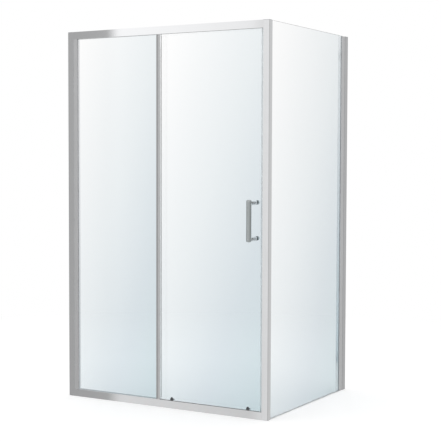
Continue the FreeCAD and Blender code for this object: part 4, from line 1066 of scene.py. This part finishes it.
class SHOWER_OT_stage(bpy.types.Operator):
    """Floor, lamps, backdrop and camera"""
    bl_idname = "shower.stage"
    bl_label = "Stage"

    def execute(self, context):
        stage = context.scene.enclosure_stage
        self.camera(context.scene, stage.lens)
        self.floor(stage)
        self.backdrop(context.scene, stage.room_level)
        for name, place, share in LAMPS:
            lamp = bpy.data.lights.new(name, "AREA")
            lamp.energy, lamp.size = stage.lamp_power * share, LAMP_SIZE
            obj = in_scene(name, lamp)
            obj.location = place
            aim = Vector(LAMP_AIM) - Vector(place)
            obj.rotation_euler = aim.to_track_quat("-Z", "Y").to_euler()
            obj.visible_glossy = False
        context.scene.view_settings.view_transform = "Standard"
        return {"FINISHED"}

    def camera(self, scene, lens):
        """The camera, in front of the enclosure and to its right, looking slightly down."""
        yaw, pitch, roll = (math.radians(angle) for angle in (YAW, PITCH, ROLL))
        data = bpy.data.cameras.new("Camera")
        data.lens, data.sensor_width = lens, 36
        data.clip_start, data.clip_end = 0.1, 100
        camera = in_scene("Camera", data)
        camera.matrix_world = (
            Matrix.Translation(EYE) @ Matrix.Rotation(yaw, 4, "Z")
            @ Matrix.Rotation(math.pi / 2 - pitch, 4, "X") @ Matrix.Rotation(roll, 4, "Z"))
        scene.camera = camera

    def floor(self, stage):
        """A pale floor that keeps the shadow and lies in a white room."""
        half, drop, back = 12.0, 0.4 * MM, 0.4
        fade = (1.4, 3.6)
        mesh = bpy.data.meshes.new("floor")
        mesh.from_pydata([(x * half, y * half + back, -drop) for x, y in
                          ((-1, -1), (1, -1), (1, 1), (-1, 1))], [], [(0, 1, 2, 3)])
        material, nodes = new_material("Pale floor")
        rays = nodes.add("ShaderNodeLightPath").outputs
        seen = nodes.maths("MAXIMUM", rays["Is Camera Ray"], rays["Is Transmission Ray"])
        matte = nodes.add("ShaderNodeBsdfDiffuse", {"Color": stage.floor})
        lift = nodes.add("ShaderNodeEmission", {
            "Color": WHITE, "Strength": nodes.maths("MULTIPLY", seen, stage.floor_lift)})
        both = nodes.add("ShaderNodeAddShader", {0: matte.outputs[0], 1: lift.outputs[0]})
        place = nodes.add("ShaderNodeTexCoord").outputs["Object"]
        away = nodes.add("ShaderNodeVectorMath", {0: place}, operation="LENGTH").outputs[1]
        far = nodes.maths("MULTIPLY", nodes.share(away, *fade), seen)
        white = nodes.add("ShaderNodeEmission", {"Color": WHITE, "Strength": 1.0})
        mixed = nodes.add("ShaderNodeMixShader", {0: far, 1: both.outputs[0],
                                                  2: white.outputs[0]})
        nodes.add("ShaderNodeOutputMaterial", {"Surface": mixed.outputs[0]})
        floor = in_scene("floor", mesh)
        give(floor, material)
        floor.visible_glossy = False

    def backdrop(self, scene, level):
        """A white room for the eye and the glass, and a banded one for the metal."""
        world = bpy.data.worlds.new("Room")
        world.use_nodes = True
        scene.world = world
        nodes = Nodes(world.node_tree)
        ray = nodes.add("ShaderNodeTexCoord").outputs["Generated"]
        around = nodes.add("ShaderNodeTexGradient", {"Vector": ray},
                           gradient_type="RADIAL").outputs["Fac"]
        wide = nodes.maths("MULTIPLY", around, REST)
        for part, room in ((FRONT, FRONT_ROOM), (SIDE, SIDE_ROOM)):
            wide = nodes.maths("MULTIPLY_ADD", nodes.share(around, *part), room, wide)
        above = nodes.ramp(wide, [(spread(place), grey(bright)) for place, bright in ROOM_BANDS])
        below = nodes.ramp(wide, [(spread(place), grey(bright * lower_share(place)))
                                  for place, bright in ROOM_BANDS])
        height = nodes.add("ShaderNodeSeparateXYZ", {0: ray}).outputs["Z"]
        ring = nodes.mix(nodes.share(height, *HALVES_MEET), below, above)
        poles = nodes.ramp(nodes.maths("MULTIPLY_ADD", height, 0.5, 0.5),
                           [(place, grey(bright, 0)) for place, bright in ROOM_POLES])
        steep = nodes.share(nodes.maths("ABSOLUTE", height), *POLES_MEET)
        mirror = nodes.mix(steep, ring, poles)
        even, shiny, white = (
            nodes.add("ShaderNodeBackground", {"Color": colour, "Strength": strength})
            for colour, strength in ((WHITE, level), (mirror, 1.0), (WHITE, 1.0)))
        rays = nodes.add("ShaderNodeLightPath").outputs
        seen = nodes.maths("MAXIMUM", rays["Is Camera Ray"], rays["Is Transmission Ray"])
        first = nodes.add("ShaderNodeMixShader", {0: rays["Is Glossy Ray"],
                                                  1: even.outputs[0], 2: shiny.outputs[0]})
        last = nodes.add("ShaderNodeMixShader", {0: seen, 1: first.outputs[0],
                                                 2: white.outputs[0]})
        nodes.add("ShaderNodeOutputWorld", {"Surface": last.outputs[0]})


# ---- panel and running -------------------------------------------------------

STEPS = (SHOWER_OT_finishes, SHOWER_OT_trees, SHOWER_OT_rails, SHOWER_OT_uprights,
         SHOWER_OT_panes, SHOWER_OT_seals, SHOWER_OT_rollers, SHOWER_OT_release,
         SHOWER_OT_screws, SHOWER_OT_handle, SHOWER_OT_stage)


class SHOWER_PT_panel(bpy.types.Panel):
    """The enclosure's settings and steps"""
    bl_label = "Shower enclosure"
    bl_idname = "SHOWER_PT_panel"
    bl_space_type = "VIEW_3D"
    bl_region_type = "UI"
    bl_category = "Enclosure"

    def draw(self, context):
        for group in SETTINGS:
            settings = getattr(context.scene, group)
            for name in settings.bl_rna.properties.keys():
                if name not in ("rna_type", "name"):
                    self.layout.prop(settings, name)
        for step in STEPS:
            self.layout.operator(step.bl_idname)


SETTINGS = {"enclosure_finishes": EnclosureFinishes, "enclosure_sizes": EnclosureSizes,
            "enclosure_stage": EnclosureStage}
CLASSES = (*SETTINGS.values(), *STEPS, SHOWER_PT_panel)


def register():
    for cls in CLASSES:
        bpy.utils.register_class(cls)
    for group, cls in SETTINGS.items():
        setattr(bpy.types.Scene, group, PointerProperty(type=cls))


def unregister():
    for group in SETTINGS:
        delattr(bpy.types.Scene, group)
    for cls in reversed(CLASSES):
        bpy.utils.unregister_class(cls)


def main():
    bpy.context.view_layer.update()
    register()
    bpy.ops.shower.finishes()
    bpy.ops.shower.trees()
    bpy.ops.shower.rails()
    bpy.ops.shower.uprights()
    bpy.ops.shower.panes()
    bpy.ops.shower.seals()
    bpy.ops.shower.rollers()
    bpy.ops.shower.release()
    bpy.ops.shower.screws()
    bpy.ops.shower.handle()
    bpy.ops.shower.stage()


if __name__ == "__main__":
    main()
